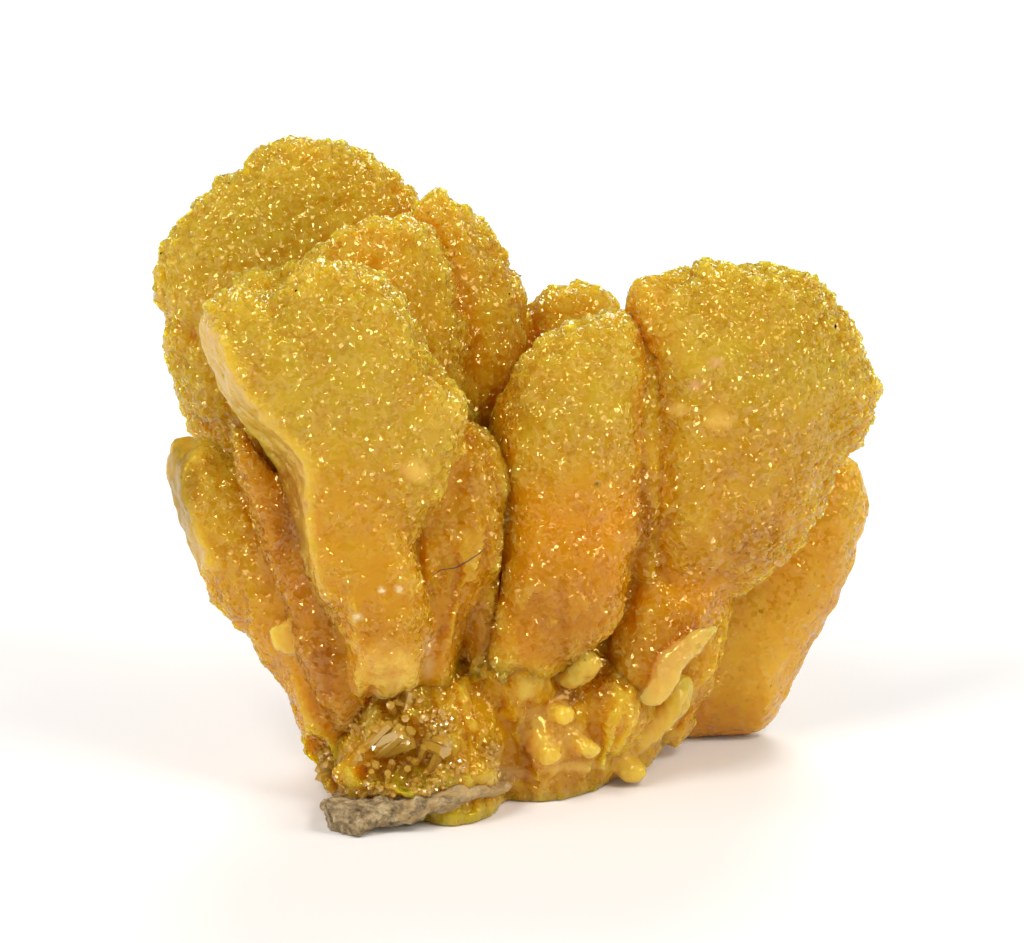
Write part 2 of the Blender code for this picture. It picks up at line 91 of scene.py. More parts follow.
# %% The petals' outlines
PETALS = (
    dict(
        name="back_left_fan", heart=(-11.0, 25.0), foot=(5.0, 11.0), tip=(37.0, 14.4),
        front=2.4, back=2.6, sway=0.06, curl=1.2,
        outline=(
            (-17.6, 21.8), (-18.5, 25.2), (-19.1, 28.4), (-19.0, 31.1), (-17.9, 32.9),
            (-16.2, 34.4), (-14.1, 36.1), (-11.0, 37.2), (-8.2, 36.4), (-6.1, 34.8),
            (-4.6, 32.2), (-4.0, 28.0), (-4.2, 20.0), (-5.0, 10.0), (-6.8, 4.5), (-9.4, 6.0),
            (-12.2, 12.0), (-15.2, 17.2),
        ),
    ),
    dict(
        name="shoulder_petal", heart=(-8.4, 22.0), foot=(6.0, 6.6), tip=(32.8, 9.0),
        front=2.2, back=3.0, sway=0.14, curl=0.8,
        outline=(
            (-15.3, 24.0), (-16.0, 26.8), (-15.6, 28.7), (-14.4, 30.0), (-12.7, 29.8),
            (-11.2, 30.6), (-9.7, 31.8), (-7.8, 32.4), (-6.2, 32.9), (-4.8, 32.0),
            (-3.7, 29.6), (-2.9, 26.9), (-2.4, 23.1), (-2.6, 18.5), (-3.5, 12.0), (-5.2, 6.5),
            (-8.4, 6.0), (-11.2, 12.0), (-13.6, 19.0),
        ),
    ),
    dict(
        name="notch_petal", heart=(-3.0, 22.0), foot=(5.0, 10.0), tip=(34.0, 12.6),
        front=2.2, back=2.4, sway=0.2, curl=0.8,
        outline=(
            (-6.6, 30.0), (-5.9, 32.8), (-4.6, 34.1), (-2.8, 33.6), (-1.6, 32.4), (-0.4, 30.9),
            (0.4, 29.3), (0.6, 27.0), (0.2, 25.2), (-0.5, 23.2), (-0.6, 20.0), (-0.6, 14.0),
            (-1.4, 7.0), (-3.4, 4.5), (-5.6, 8.0), (-6.6, 18.0),
        ),
    ),
    dict(
        name="far_petal", heart=(3.0, 18.0), foot=(6.0, 12.6), tip=(28.9, 15.2),
        front=2.4, back=2.2, sway=0.0, curl=1.0,
        outline=(
            (-1.0, 25.5), (0.6, 28.3), (2.4, 29.0), (4.2, 28.8), (5.8, 27.7), (7.2, 24.5),
            (8.2, 18.0), (7.4, 10.0), (3.4, 5.5), (-0.6, 8.0), (-2.4, 16.0), (-2.2, 22.0),
        ),
    ),
    dict(
        name="back_petal", heart=(-5.4, 12.6), foot=(5.0, 14.6), tip=(22.0, 15.4),
        front=2.6, back=1.8, sway=-0.05, curl=0.4,
        outline=(
            (-9.6, 17.0), (-8.0, 20.4), (-5.6, 21.8), (-3.2, 20.6), (-1.6, 17.0), (-1.4, 12.0),
            (-2.0, 7.0), (-4.8, 3.8), (-7.4, 6.0), (-9.2, 11.0),
        ),
    ),
    dict(
        name="low_back_petal", heart=(3.4, 10.6), foot=(5.0, 14.6), tip=(17.0, 15.2),
        front=2.6, back=1.9, sway=0.04, curl=0.4,
        outline=(
            (-0.8, 13.4), (0.6, 16.4), (3.4, 17.6), (6.0, 16.2), (7.8, 12.6), (7.2, 8.4),
            (5.2, 5.0), (2.6, 4.0), (0.2, 6.0), (-0.8, 9.6),
        ),
    ),
    dict(
        name="centre_petal", heart=(3.0, 20.0), foot=(10.0, 6.6), tip=(27.6, 7.4),
        front=2.5, back=3.4, sway=0.12, curl=0.6,
        outline=(
            (-1.1, 21.8), (-0.7, 23.8), (0.2, 25.3), (1.4, 26.2), (3.2, 27.2), (5.0, 27.7),
            (6.2, 26.9), (6.7, 24.6), (6.6, 20.9), (6.4, 17.0), (5.4, 12.0), (2.4, 9.5),
            (-0.6, 12.0), (-0.9, 17.5),
        ),
    ),
    dict(
        name="centre_skirt", heart=(2.4, 14.0), foot=(7.0, 5.6), tip=(20.0, 7.2),
        blunt=2.4, front=2.5, back=2.6, sway=0.15,
        outline=(
            (-0.4, 18.6), (1.6, 19.6), (4.4, 19.4), (6.5, 18.2), (6.9, 16.2), (6.1, 14.8),
            (5.6, 13.0), (5.2, 11.3), (3.9, 10.3), (2.4, 9.0), (0.5, 7.6), (-1.7, 7.8),
            (-1.9, 10.5), (-1.0, 13.8), (-0.7, 16.6),
        ),
    ),
    dict(
        name="right_fan", heart=(12.2, 22.0), foot=(12.0, 9.4), tip=(30.0, 10.0),
        front=2.7, back=3.2, sway=0.26, curl=1.0,
        outline=(
            (5.9, 28.4), (6.6, 29.5), (8.9, 29.8), (10.2, 30.3), (14.0, 30.3), (15.8, 29.3),
            (16.8, 28.0), (18.1, 26.1), (19.0, 24.0), (18.8, 22.7), (17.4, 20.2), (16.2, 18.2),
            (14.9, 15.6), (13.3, 13.8), (10.9, 12.3), (8.2, 11.6), (6.8, 14.0), (6.6, 20.9),
            (6.7, 24.5), (6.1, 26.9),
        ),
    ),
    dict(
        name="right_skirt", heart=(7.8, 10.8), foot=(6.0, 8.8), tip=(15.0, 9.8),
        blunt=2.6, front=2.5, back=3.2, sway=0.2,
        outline=(
            (6.2, 14.4), (7.7, 15.3), (9.6, 15.1), (10.9, 13.4), (10.5, 11.2), (9.6, 10.1),
            (8.5, 8.9), (7.6, 7.6), (6.4, 6.4), (4.6, 6.6), (4.4, 9.4), (5.4, 12.2),
        ),
    ),
    dict(
        name="right_wing", heart=(13.2, 12.0), foot=(5.0, 14.2), tip=(20.0, 14.8),
        front=1.9, back=2.0, sway=0.05, curl=0.8,
        outline=(
            (17.2, 20.3), (18.2, 19.4), (18.6, 18.0), (18.4, 15.8), (17.3, 12.8), (15.7, 10.1),
            (14.6, 8.2), (13.7, 6.2), (12.8, 5.3), (11.0, 5.1), (8.6, 5.1), (6.6, 6.5),
            (6.8, 10.5), (9.5, 14.5), (12.8, 18.0), (15.4, 20.2),
        ),
    ),
    dict(
        name="side_blade", heart=(-3.6, 15.0), foot=(6.0, 4.2), tip=(22.0, 5.0),
        blunt=2.6, front=1.5, back=1.9, sway=0.1, curl=0.4,
        outline=(
            (-4.6, 21.5), (-3.1, 22.1), (-1.2, 21.1), (-0.5, 18.5), (-0.9, 16.0), (-1.3, 13.8),
            (-2.4, 12.0), (-3.3, 10.2), (-3.4, 7.4), (-4.6, 5.8), (-6.6, 8.0), (-6.6, 14.0),
            (-6.0, 19.0),
        ),
    ),
    dict(
        name="left_wing", heart=(-13.4, 13.2), foot=(3.0, 4.6), tip=(21.0, 8.2),
        front=1.6, back=2.2, sway=-0.08, curl=0.7,
        sides=((112, 0.0), (120, 1.3), (150, 1.5), (172, 0.0)),
        outline=(
            (-18.6, 20.6), (-18.0, 21.2), (-16.2, 20.9), (-15.0, 20.0), (-13.4, 17.8),
            (-12.2, 16.0), (-11.5, 13.2), (-10.6, 10.6), (-10.0, 8.2), (-9.1, 5.6),
            (-9.4, 2.8), (-10.3, 1.9), (-11.2, 3.6), (-11.7, 6.4), (-13.2, 9.0), (-15.0, 11.4),
            (-16.9, 13.8), (-18.1, 16.5), (-18.7, 19.0),
        ),
    ),
    dict(
        name="left_rib", heart=(-11.4, 14.2), foot=(6.0, 4.2), tip=(21.0, 6.6),
        blunt=6.0, front=1.8, back=1.4, sway=0.0,
        outline=(
            (-15.4, 21.2), (-14.0, 20.6), (-12.2, 18.4), (-10.6, 15.4), (-9.5, 12.4),
            (-8.2, 9.4), (-8.2, 6.6), (-9.6, 5.2), (-11.2, 8.4), (-12.5, 12.2), (-14.0, 16.6),
        ),
    ),
    dict(
        name="front_tongue", heart=(-8.9, 20.0), foot=(7.0, 2.6), tip=(30.0, 3.6),
        blunt=6.0, front=2.3, back=2.8, sway=0.03, curl=0.6,
        sides=(
            (134, 0.0), (140, 1.6), (152, 2.6), (188, 1.5), (245, 0.8), (262, 0.3), (272, 0.0),
        ),
        outline=(
            (-16.8, 27.0), (-16.2, 28.0), (-14.9, 28.7), (-13.0, 28.6), (-12.0, 29.7),
            (-10.5, 30.2), (-8.6, 30.0), (-7.2, 29.4), (-5.7, 27.6), (-4.8, 25.5), (-3.5, 24.1),
            (-2.7, 22.7), (-3.3, 19.9), (-4.2, 17.4), (-5.5, 16.0), (-5.6, 14.2), (-4.9, 12.2),
            (-4.8, 10.4), (-5.4, 7.9), (-6.7, 7.1), (-8.6, 7.3), (-9.1, 8.4), (-9.2, 10.6),
            (-10.5, 12.2), (-11.4, 14.8), (-12.2, 17.8), (-13.0, 19.8), (-14.8, 22.2),
            (-16.0, 23.8), (-16.6, 25.4),
        ),
    ),
)

# %% [markdown]
# ## The masses at the foot
# Below the petals the growth is solid. Rounded masses, each an ellipsoid, fill it and carry the
# petals, so that every petal stands on something.

# %% The masses that the petals rise from: middle and radii, both as (X, depth, Z)
ROOTS = (
    ("left_root", (-5.2, 8.0, 2.6), (5.6, 6.6, 6.4)),
    ("right_root", (2.4, 11.3, 3.8), (5.6, 4.9, 6.2)),
    ("middle_root", (0.8, 9.4, 2.6), (4.8, 5.0, 5.4)),
    ("front_foot", (-3.8, 4.8, 0.3), (2.7, 3.3, 1.7)),
    ("back_root", (-1.0, 12.2, 5.0), (9.8, 3.8, 8.6)),
    ("left_core", (-8.6, 8.2, 14.0), (4.4, 5.4, 12.0)),
    ("centre_core", (-1.0, 12.2, 10.0), (4.4, 3.8, 12.0)),
    ("right_core", (7.2, 12.2, 11.5), (4.2, 3.6, 11.0)),
)

# %% Small masses that fill the gaps between the petals
ROOTS += (
    ("between_blades", (-2.0, 7.2, 10.0), (1.5, 3.0, 5.5)),
    ("between_fans", (6.7, 9.4, 17.5), (1.3, 2.9, 9.0)),
    ("beside_centre", (-0.9, 8.4, 15.0), (1.0, 2.9, 7.0)),
    ("over_rock", (-5.6, 2.4, 2.6), (4.4, 1.6, 1.5)),
    ("under_skirt", (-0.4, 7.0, 7.6), (2.5, 3.2, 4.4)),
    ("under_right_skirt", (4.7, 8.4, 4.4), (2.3, 2.9, 2.9)),
)

# %% [markdown]
# ## From an outline to a closed shell
# A shell is a function of two parameters: the angle round the petal's heart, and the way from
# its front, over the rim, to its back. Going there in equal steps of an angle puts more rings
# near the rim, where the surface turns.

# %% Shells of petals and masses
BLUNT = 3.6
SIDE_DEPTH = 0.4
NO_SIDES = ((0, 0.0), (360, 0.0))
CURVE_STEPS = 6


def smooth_outline(points):
    """The closed Catmull-Rom curve through the points: between each two of them a cubic that
    leaves each point along the line between its neighbours."""
    corners = np.array(points)
    before = np.roll(corners, 1, axis=0)
    after = np.roll(corners, -1, axis=0)
    beyond = np.roll(corners, -2, axis=0)
    t = (np.arange(CURVE_STEPS) / CURVE_STEPS)[None, :, None]
    corners, before, after, beyond = (part[:, None] for part in (corners, before, after, beyond))
    curve = 0.5 * (
        2 * corners
        + (after - before) * t
        + (2 * before - 5 * corners + 4 * after - beyond) * t**2
        + (3 * corners - before - 3 * after + beyond) * t**3
    )
    return curve.reshape(-1, 2)


def rim_reach(petal, angle):
    """How far the outline is from the heart at each angle."""
    curve = smooth_outline(petal["outline"]) - np.array(petal["heart"])
    turn = np.arctan2(curve[:, 1], curve[:, 0])
    order = np.argsort(turn)
    reach = np.hypot(curve[order, 0], curve[order, 1])
    return np.interp(angle, turn[order], reach, period=2 * math.pi)


def side_width(petal, angle):
    """The width of the flat side at each angle, read between the stations given in degrees."""
    degrees, widths = zip(*petal.get("sides", NO_SIDES))
    return np.interp(np.degrees(angle) % 360.0, degrees, widths, left=0.0, right=0.0)


def middle_depth(petal, x, v):
    """A straight lean from foot to tip, and a sway to one side."""
    (low, low_depth), (high, high_depth) = petal["foot"], petal["tip"]
    lean = (high_depth - low_depth) / (high - low)
    return low_depth + lean * (v - low) + petal["sway"] * (x - petal["heart"][0])


def petal_depths(petal, angle, out, reach, grow=0.0):
    """Depths of the front and the back at a share out of the way from the heart to the rim.
    Both bulge from the middle by sqrt(1 - out^BLUNT) of their reach. Where there is a flat
    side, the front slopes straight back to a rim that lies further back."""
    x = petal["heart"][0] + reach * out * np.cos(angle)
    v = petal["heart"][1] + reach * out * np.sin(angle)
    round_rim = np.sqrt(np.clip(1.0 - out ** petal.get("blunt", BLUNT), 0.0, 1.0))
    width = side_width(petal, angle)
    flatness = np.clip(width, 0.0, 1.0)
    slope = np.clip((1.0 - out) * reach / np.maximum(width, 0.01), 0.0, 1.0)
    rim = SIDE_DEPTH * petal["back"] * flatness
    middle = middle_depth(petal, x, v) + petal.get("curl", 0.0) * out**2
    front = middle + rim - (petal["front"] + grow + rim) * (
        round_rim + flatness * (slope - round_rim)
    )
    back = middle + rim + (petal["back"] + grow - rim) * round_rim
    return x, v, front, back


def petal_shell(petal, turns=150, rings=81, grow=0.0):
    """Rows from the middle of the front (0) over the rim (half) to the middle of the back (1),
    each row once round the heart. The share out on a row is the sine of its angle."""
    angle = np.linspace(-math.pi, math.pi, turns, endpoint=False)[None, :]
    over = np.linspace(0.0, math.pi, rings)[:, None]
    out = np.sin(over) + 0.0 * angle
    reach = rim_reach(petal, angle) + grow + 0.0 * over
    x, v, front, back = petal_depths(petal, angle + 0.0 * over, out, reach, grow)
    return to_space(x, v, np.where(over < math.pi / 2, front, back))


def mass_shell(middle, radii, turns=100, rings=61):
    """An ellipsoid: sin b cos a, -cos b and sin b sin a, times the radii, from front to back."""
    a = np.linspace(0.0, 2 * math.pi, turns, endpoint=False)[None, :]
    b = np.linspace(0.0, math.pi, rings)[:, None]
    unit = np.stack([np.sin(b) * np.cos(a), -np.cos(b) + 0.0 * a, np.sin(b) * np.sin(a)], axis=-1)
    return unit * np.array(radii) + np.array(middle) - np.array([*MIDDLE, 0.0])


def close_shell(grid):
    """Corners and faces of a grid whose first and last rows are each one point: a fan of
    triangles at either end and four-sided faces between."""
    rings, turns, _ = grid.shape
    points = np.concatenate([grid[:1, 0], grid[1:-1].reshape(-1, 3), grid[-1:, 0]])
    ring = np.arange(turns)
    after = np.roll(ring, -1)
    first = 1 + ring
    last = 1 + (rings - 3) * turns + ring
    fans = np.concatenate(
        [
            np.stack([0 * ring, 1 + after, first], axis=1),
            np.stack([0 * ring + len(points) - 1, last, last - ring + after], axis=1),
        ]
    )
    row = 1 + np.arange(rings - 3)[:, None] * turns
    corners = (row + ring, row + after, row + turns + after, row + turns + ring)
    quads = np.stack([c.ravel() for c in corners], axis=1)
    return points, quads, fans


# %% [markdown]
# ## Fingers
# Smooth pale fingers of mimetite stick out at the foot. Each is an egg drawn out along a line.

# %% The fingers: X, V and depth of both ends, then the radius across and through
FINGERS = (
    ("right_finger", (6.7, 4.9, 8.2), (8.5, 7.8, 8.7), 0.56, 0.7),
    ("lowest_finger", (4.8, 4.5, 8.0), (6.1, 3.3, 7.4), 0.62, 0.7),
    ("pale_finger", (0.7, 6.2, 5.1), (1.6, 4.3, 4.1), 0.66, 0.6),
    ("bent_finger", (2.6, 5.3, 5.3), (3.8, 4.5, 4.7), 0.5, 0.6),
    ("round_finger", (1.9, 6.5, 5.2), (2.3, 6.4, 4.2), 0.5, 0.5),
    ("upper_finger", (2.8, 8.3, 5.5), (3.5, 9.0, 5.2), 0.6, 0.6),
    ("oval_finger", (0.2, 8.0, 4.3), (0.2, 7.6, 4.3), 0.4, 0.5),
)


def finger_shell(start, end, across, through, turns=40, rings=41):
    """A tube along a slightly bent line. Its radius is the fourth root of 1 - t^4, with t from
    -1 to 1 along it, so both ends are blunt, and it swells and narrows a little on the way."""
    a, b = to_space(*start), to_space(*end)
    along = (b - a) / np.linalg.norm(b - a)
    side = np.cross(along, (0.0, 1.0, 0.0))
    side /= np.linalg.norm(side)
    third = np.cross(along, side)
    t = -np.cos(np.linspace(0.0, math.pi, rings))[:, None, None]
    turn = np.linspace(0.0, 2 * math.pi, turns, endpoint=False)[None, :, None]
    half = np.linalg.norm(b - a) / 2 + across
    bend = 0.08 * half * np.sin(2.2 * t + 7.0 * across) * side
    radius = np.clip(1.0 - t**4, 0.0, 1.0) ** 0.25 * (1.0 + 0.08 * np.sin(3.0 * t + 9.0 * through))
    ring = np.cos(turn) * side * across + np.sin(turn) * third * through
    return (a + b) / 2 + along * (t * half) + bend + radius * ring


# %% [markdown]
# ## Two flakes
# A pinkish flake leans on the right skirt, and a pale one lies on the left wing. They broke off
# and stuck, so they are thin and drawn like small petals.

# %% The flakes
FLAKES = (
    dict(
        heart=(8.2, 9.0), foot=(6.0, 5.8), tip=(12.0, 6.9), front=0.32, back=0.5, sway=0.0,
        outline=(
            (10.5, 11.2), (9.4, 10.9), (8.5, 10.3), (7.5, 9.5), (7.0, 8.4), (6.4, 7.2),
            (7.1, 6.8), (8.1, 7.5), (8.8, 8.6), (9.5, 9.6), (10.4, 10.5),
        ),
    ),
    dict(
        heart=(-12.3, 10.6), foot=(9.0, 3.9), tip=(12.0, 4.0), front=0.15, back=0.6, sway=0.0,
        outline=((-11.7, 11.4), (-12.6, 11.3), (-13.3, 10.8), (-12.5, 9.5), (-11.7, 10.1)),
    ),
)

# %% What is fused into a skin besides its petals and masses
# The fingers are set a tenth of a millimetre back into the foot.
SUNK = np.array([0.0, 0.1, 0.0])
SMALL_SHELLS = {
    "foot_skin": [finger_shell(*finger[1:]) + SUNK for finger in FINGERS],
    "right_skin": [petal_shell(FLAKES[0], 90, 31)],
    "left_skin": [petal_shell(FLAKES[1], 90, 31)],
}

# %% [markdown]
# ## One skin
# On the real specimen the petals run into each other with no seam. A voxel remesh does that: it
# fills the joined shells with small cubes and wraps one even skin round them all. Even spacing
# also suits the next step, where every point of the skin becomes a crystal.

# %% Meshes from arrays, and the fused skin
def mesh_from(name, points, faces):
    """A mesh from corner places and face arrays, which may mix triangles and quads."""
    mesh = bpy.data.meshes.new(name)
    mesh.from_pydata(points.tolist(), [], [face for block in faces for face in block.tolist()])
    return mesh


def set_values(mesh, name, values):
    """One number for each point of the mesh, under a name that a material can read."""
    layer = mesh.attributes.new(name, "FLOAT", "POINT")
    layer.data.foreach_set("value", values.astype(np.float32))


def new_piece(name, mesh):
    """An object at the origin that shows the mesh."""
    obj = bpy.data.objects.new(name, mesh)
    bpy.context.scene.collection.objects.link(obj)
    return obj


def joined(bodies):
    """One array of corners and one list of face arrays from several bodies, each given as its
    corners and its own face arrays."""
    points, faces, start = [], [], 0
    for corners, *blocks in bodies:
        points.append(corners)
        faces += [block + start for block in blocks]
        start += len(corners)
    return np.concatenate(points), faces


def fused_skin(name, shells, spacing):
    """The joined shells, remeshed with cubes of that size. Returns corners and quads."""
    draft = new_piece(name + "_draft", mesh_from(name + "_draft", *joined(map(close_shell, shells))))
    remesh = draft.modifiers.new("Fuse", "REMESH")
    remesh.mode = "VOXEL"
    remesh.voxel_size = spacing
    graph = bpy.context.evaluated_depsgraph_get()
    mesh = bpy.data.meshes.new_from_object(draft.evaluated_get(graph))
    points = np.empty(len(mesh.vertices) * 3)
    mesh.vertices.foreach_get("co", points)
    quads = np.empty(len(mesh.loops), int)
    mesh.loops.foreach_get("vertex_index", quads)
    bpy.data.objects.remove(draft)
    print(name, "skin:", len(points) // 3, "points and", len(mesh.polygons), "quads")
    return points.reshape(-1, 3), quads.reshape(-1, 4)


# %% [markdown]
# ## Working on a skin
# The skin is plain arrays from here on. It is cut into triangles with the diagonals chosen at
# random, shaken a little along the surface so that no rows of cubes show, and smoothed. Its
# normals are the mean of the faces round each point.

# %% Tools for a skin of triangles
def random_triangles(quads, draws):
    """Each quad cut along one of its diagonals, chosen by a coin."""
    flipped = draws.random(len(quads)) < 0.5
    turned = np.where(flipped[:, None], np.roll(quads, 1, axis=1), quads)
    return np.concatenate([turned[:, [0, 1, 2]], turned[:, [0, 2, 3]]])


def gather(count, index, values):
    """Sums the rows of values that share an index."""
    return np.stack([np.bincount(index, column, count) for column in values.T], axis=1)


def normals_of(points, triangles):
    """Faces' cross products, summed at each corner and brought to length 1."""
    a, b, c = (points[triangles[:, k]] for k in range(3))
    cross = np.cross(b - a, c - a)
    summed = gather(len(points), triangles.ravel(), np.repeat(cross, 3, axis=0))
    return summed / np.maximum(np.linalg.norm(summed, axis=1, keepdims=True), 1e-12)


def relax(points, triangles, strength, steps=1):
    """Each point moves that share of the way to the mean of its neighbours."""
    start = triangles.ravel()
    end = np.roll(triangles, -1, axis=1).ravel()
    count = np.bincount(start, minlength=len(points))[:, None]
    for _ in range(steps):
        mean = gather(len(points), start, points[end]) / np.maximum(count, 1)
        points = points + strength * (mean - points)
    return points


def shake(points, normals, amount, draws):
    """A random move along the surface: the part of it along the normal is taken away."""
    move = draws.uniform(-1.0, 1.0, points.shape) * np.reshape(amount, (-1, 1))
    return points + move - normals * (move * normals).sum(axis=1, keepdims=True)


# %% [markdown]
# ## Lumps
# The skin isn't smooth under its crystals: it swells in rounded lumps of several sizes. Each
# size uses a lattice with one middle at a random place in every cell, and a point's height is
# one minus the squared distance to the nearest middle, which gives domes with creases between.
# Blender's Voronoi texture has the same pattern, but arrays let the same rule shape several
# skins and feed their colours too.

# %% The lattice
CELL_FACTORS = np.array([127.1, 311.7, 74.7])
SALT_FACTOR = 19.19
SINE_FACTOR = 43758.5453
FAR_AWAY = 9.0


def scatter(cells, salt):
    """One number from 0 to 1 for each lattice cell, always the same for the same cell: the
    digits behind the point of a large multiple of a sine."""
    mixed = cells @ CELL_FACTORS + SALT_FACTOR * salt
    return np.modf(np.abs(np.sin(mixed) * SINE_FACTOR))[0]


def near_cells(points, size):
    """The 27 cells round each point, one after the other, with the way from that cell's middle
    to the point, counted in cells."""
    cells = np.floor(points / size)
    for step in itertools.product((-1, 0, 1), repeat=3):
        near = cells + np.array(step)
        jitter = np.stack([scatter(near, salt) for salt in (1, 2, 3)], axis=1)
        yield near, points / size - near - jitter


# %% Lumps: the size of each in millimetres and its height
LUMPS = ((4.6, 0.4), (2.1, 0.2), (1.15, 0.34), (0.55, 0.1))
LUMP_LEVEL = 0.68


def lumps(points, size):
    """Rounded lumps, from 0 in the creases to 1 on top."""
    nearest = np.full(len(points), FAR_AWAY)
    for _, away in near_cells(points, size):
        nearest = np.minimum(nearest, (away**2).sum(axis=1))
    return np.clip(1.0 - nearest, 0.0, 1.0)


def swell(points):
    """The lumps of all sizes together, measured from the level that the outlines are drawn at."""
    return sum(height * (lumps(points, apart) - LUMP_LEVEL) for apart, height in LUMPS)


def planes(points, size):
    """Flat pieces with steps between them: the way from the nearest middle, times a slope that
    is random for each middle."""
    nearest = np.full(len(points), FAR_AWAY)
    height = np.zeros(len(points))
    for near, away in near_cells(points, size):
        slope = np.stack([scatter(near, salt) for salt in (4, 5, 6)], axis=1) * 2.0 - 1.0
        far = (away**2).sum(axis=1)
        height = np.where(far < nearest, (away * slope).sum(axis=1), height)
        nearest = np.minimum(nearest, far)
    return height * size


# %% [markdown]
# ## Which petal a point is on
# Colour and roughness follow the petals, but the fused skin has forgotten them. Each petal has
# a level at every point of space, below 1 inside it and above 1 outside. The petal with the
# lowest level owns the point, and where a second one comes close to 1 there is a crease.

# %% Levels
PART_NAMES = [petal["name"] for petal in PETALS] + [mass[0] for mass in ROOTS]
MASS_OUT = 0.5
MASS_ALONG = 0.4


def round_heart(shape, points):
    """X, V and depth of each point, its angle round the shape's heart and its distance from it."""
    x, v, depth = to_picture(points)
    across, up = x - shape["heart"][0], v - shape["heart"][1]
    return x, v, depth, np.arctan2(up, across), np.hypot(across, up)


def petal_level(petal, points):
    """out^BLUNT + (depth from the middle / reach)^2, with out the share of the way to the rim."""
    x, v, depth, angle, distance = round_heart(petal, points)
    reach = rim_reach(petal, angle)
    out = distance / reach
    off = depth - middle_depth(petal, x, v) - petal.get("curl", 0.0) * out**2
    through = off / np.where(off < 0, petal["front"], petal["back"])
    return out ** petal.get("blunt", BLUNT) + through**2, out, angle, reach


def mass_level(middle, radii, points):
    """The squared distance from the middle in radii."""
    away = points - np.array(middle) + np.array([*MIDDLE, 0.0])
    return ((away / np.array(radii)) ** 2).sum(axis=1)


def read_place(points):
    """For each point: the number of its petal (masses come last), how much of a crease it is
    in, from 0 to 1, how far out towards the rim it is, how flat and broken the skin is, and
    how far up from the petal's foot to its tip."""
    levels, outs, broken, alongs = [], [], [], []
    v = to_picture(points)[1]
    for petal in PETALS:
        level, out, angle, reach = petal_level(petal, points)
        width = side_width(petal, angle)
        levels.append(level)
        outs.append(np.clip(out, 0.0, 1.0))
        broken.append(np.clip(width, 0, 1) * np.clip(1.0 + width - (1.0 - out) * reach, 0, 1))
        low, high = petal["foot"][0], petal["tip"][0]
        alongs.append(np.clip((v - low) / (high - low), 0.0, 1.0))
    for _, middle, radii in ROOTS:
        levels.append(mass_level(middle, radii, points))
        outs.append(np.full(len(points), MASS_OUT))
        broken.append(np.zeros(len(points)))
        alongs.append(np.full(len(points), MASS_ALONG))
    levels = np.stack(levels)
    owner = levels.argmin(axis=0)
    second = np.sort(levels, axis=0)[1]
    crease = np.exp(-1.3 * np.maximum(second - 1.0, 0.0))
    here = (owner, np.arange(len(points)))
    return owner, crease, np.stack(outs)[here], np.stack(broken)[here], np.stack(alongs)[here]


def on_fingers(points):
    """1 on a finger, falling to 0 half a radius away from it."""
    share = np.zeros(len(points))
    for _, start, end, across, _ in FINGERS:
        a = to_space(*start) + SUNK
        line = to_space(*end) + SUNK - a
        t = np.clip((points - a) @ line / (line @ line), 0.0, 1.0)
        away = np.linalg.norm(points - a - t[:, None] * line, axis=1) / across
        share = np.maximum(share, np.clip((1.7 - away) / 0.5, 0.0, 1.0))
    return share


def on_flake(flake, points):
    """1 on a flake, falling to 0 just off it."""
    return np.clip((1.6 - petal_level(flake, points)[0]) / 0.5, 0.0, 1.0)


# %% [markdown]
# ## Hollows and the flat below
# Two hollows at the foot hold clear crystals. They and the rock are drawn like petals. The front of
# the skin inside a hollow's outline is pressed back to the back of the shape, which cuts a bowl with
# no boolean. What would reach below the flat that the specimen stands on is pressed up to it.

# %% The hollows and the rock
VUG = dict(
    heart=(-6.6, 4.7), foot=(2.0, 1.7), tip=(7.0, 1.9), front=2.2, back=2.1, sway=0.0,
    outline=(
        (-9.0, 5.0), (-8.4, 6.7), (-6.6, 7.2), (-4.8, 6.8), (-4.1, 5.0), (-4.5, 3.6), (-6.2, 2.8),
        (-8.3, 3.1),
    ),
)
EDGE_POCKET = dict(
    heart=(-11.0, 3.9), foot=(2.0, 4.2), tip=(6.0, 4.4), front=1.7, back=1.7, sway=0.0,
    outline=(
        (-12.2, 3.8), (-11.8, 5.0), (-10.9, 5.3), (-10.1, 4.6), (-10.0, 3.2), (-10.8, 2.5),
        (-11.8, 2.8),
    ),
)

ROCK = dict(
    heart=(-6.6, 1.3), foot=(0.0, 2.5), tip=(2.0, 2.5), front=2.3, back=2.2, sway=0.2,
    outline=(
        (-10.5, 1.8), (-10.2, 0.8), (-9.7, -0.2), (-8.6, 0.1), (-7.6, 0.5), (-6.2, 0.6),
        (-4.4, 1.2), (-2.4, 1.8), (-0.6, 2.4), (-1.6, 2.8), (-3.4, 2.7), (-5.6, 2.1),
        (-8.2, 1.9),
    ),
)
VUG_FLOOR = 1.35
VUG_WOBBLE = 1.6


def press_back(points, shape, wobble=0.0, raised=0.0):
    """Points inside the outline and in front of the shape's back go straight back to it. Wobble
    makes the outline uneven, and raised leaves the floor that far in front."""
    x, v, depth, angle, distance = round_heart(shape, points)
    reach = rim_reach(shape, angle)
    if wobble:
        reach = reach + wobble * (lumps(points, 1.1) - 0.5)
    out = distance / reach
    back = petal_depths(shape, angle, np.clip(out, 0.0, 1.0), reach)[3] - raised
    inside = (out < 1.0) & (depth < back)
    return np.where(inside[:, None], to_space(x, v, back), points), inside


def stand_flat(points):
    """Nothing reaches below the flat that the specimen stands on."""
    points = points.copy()
    points[:, 2] = np.maximum(points[:, 2], 0.0)
    return points


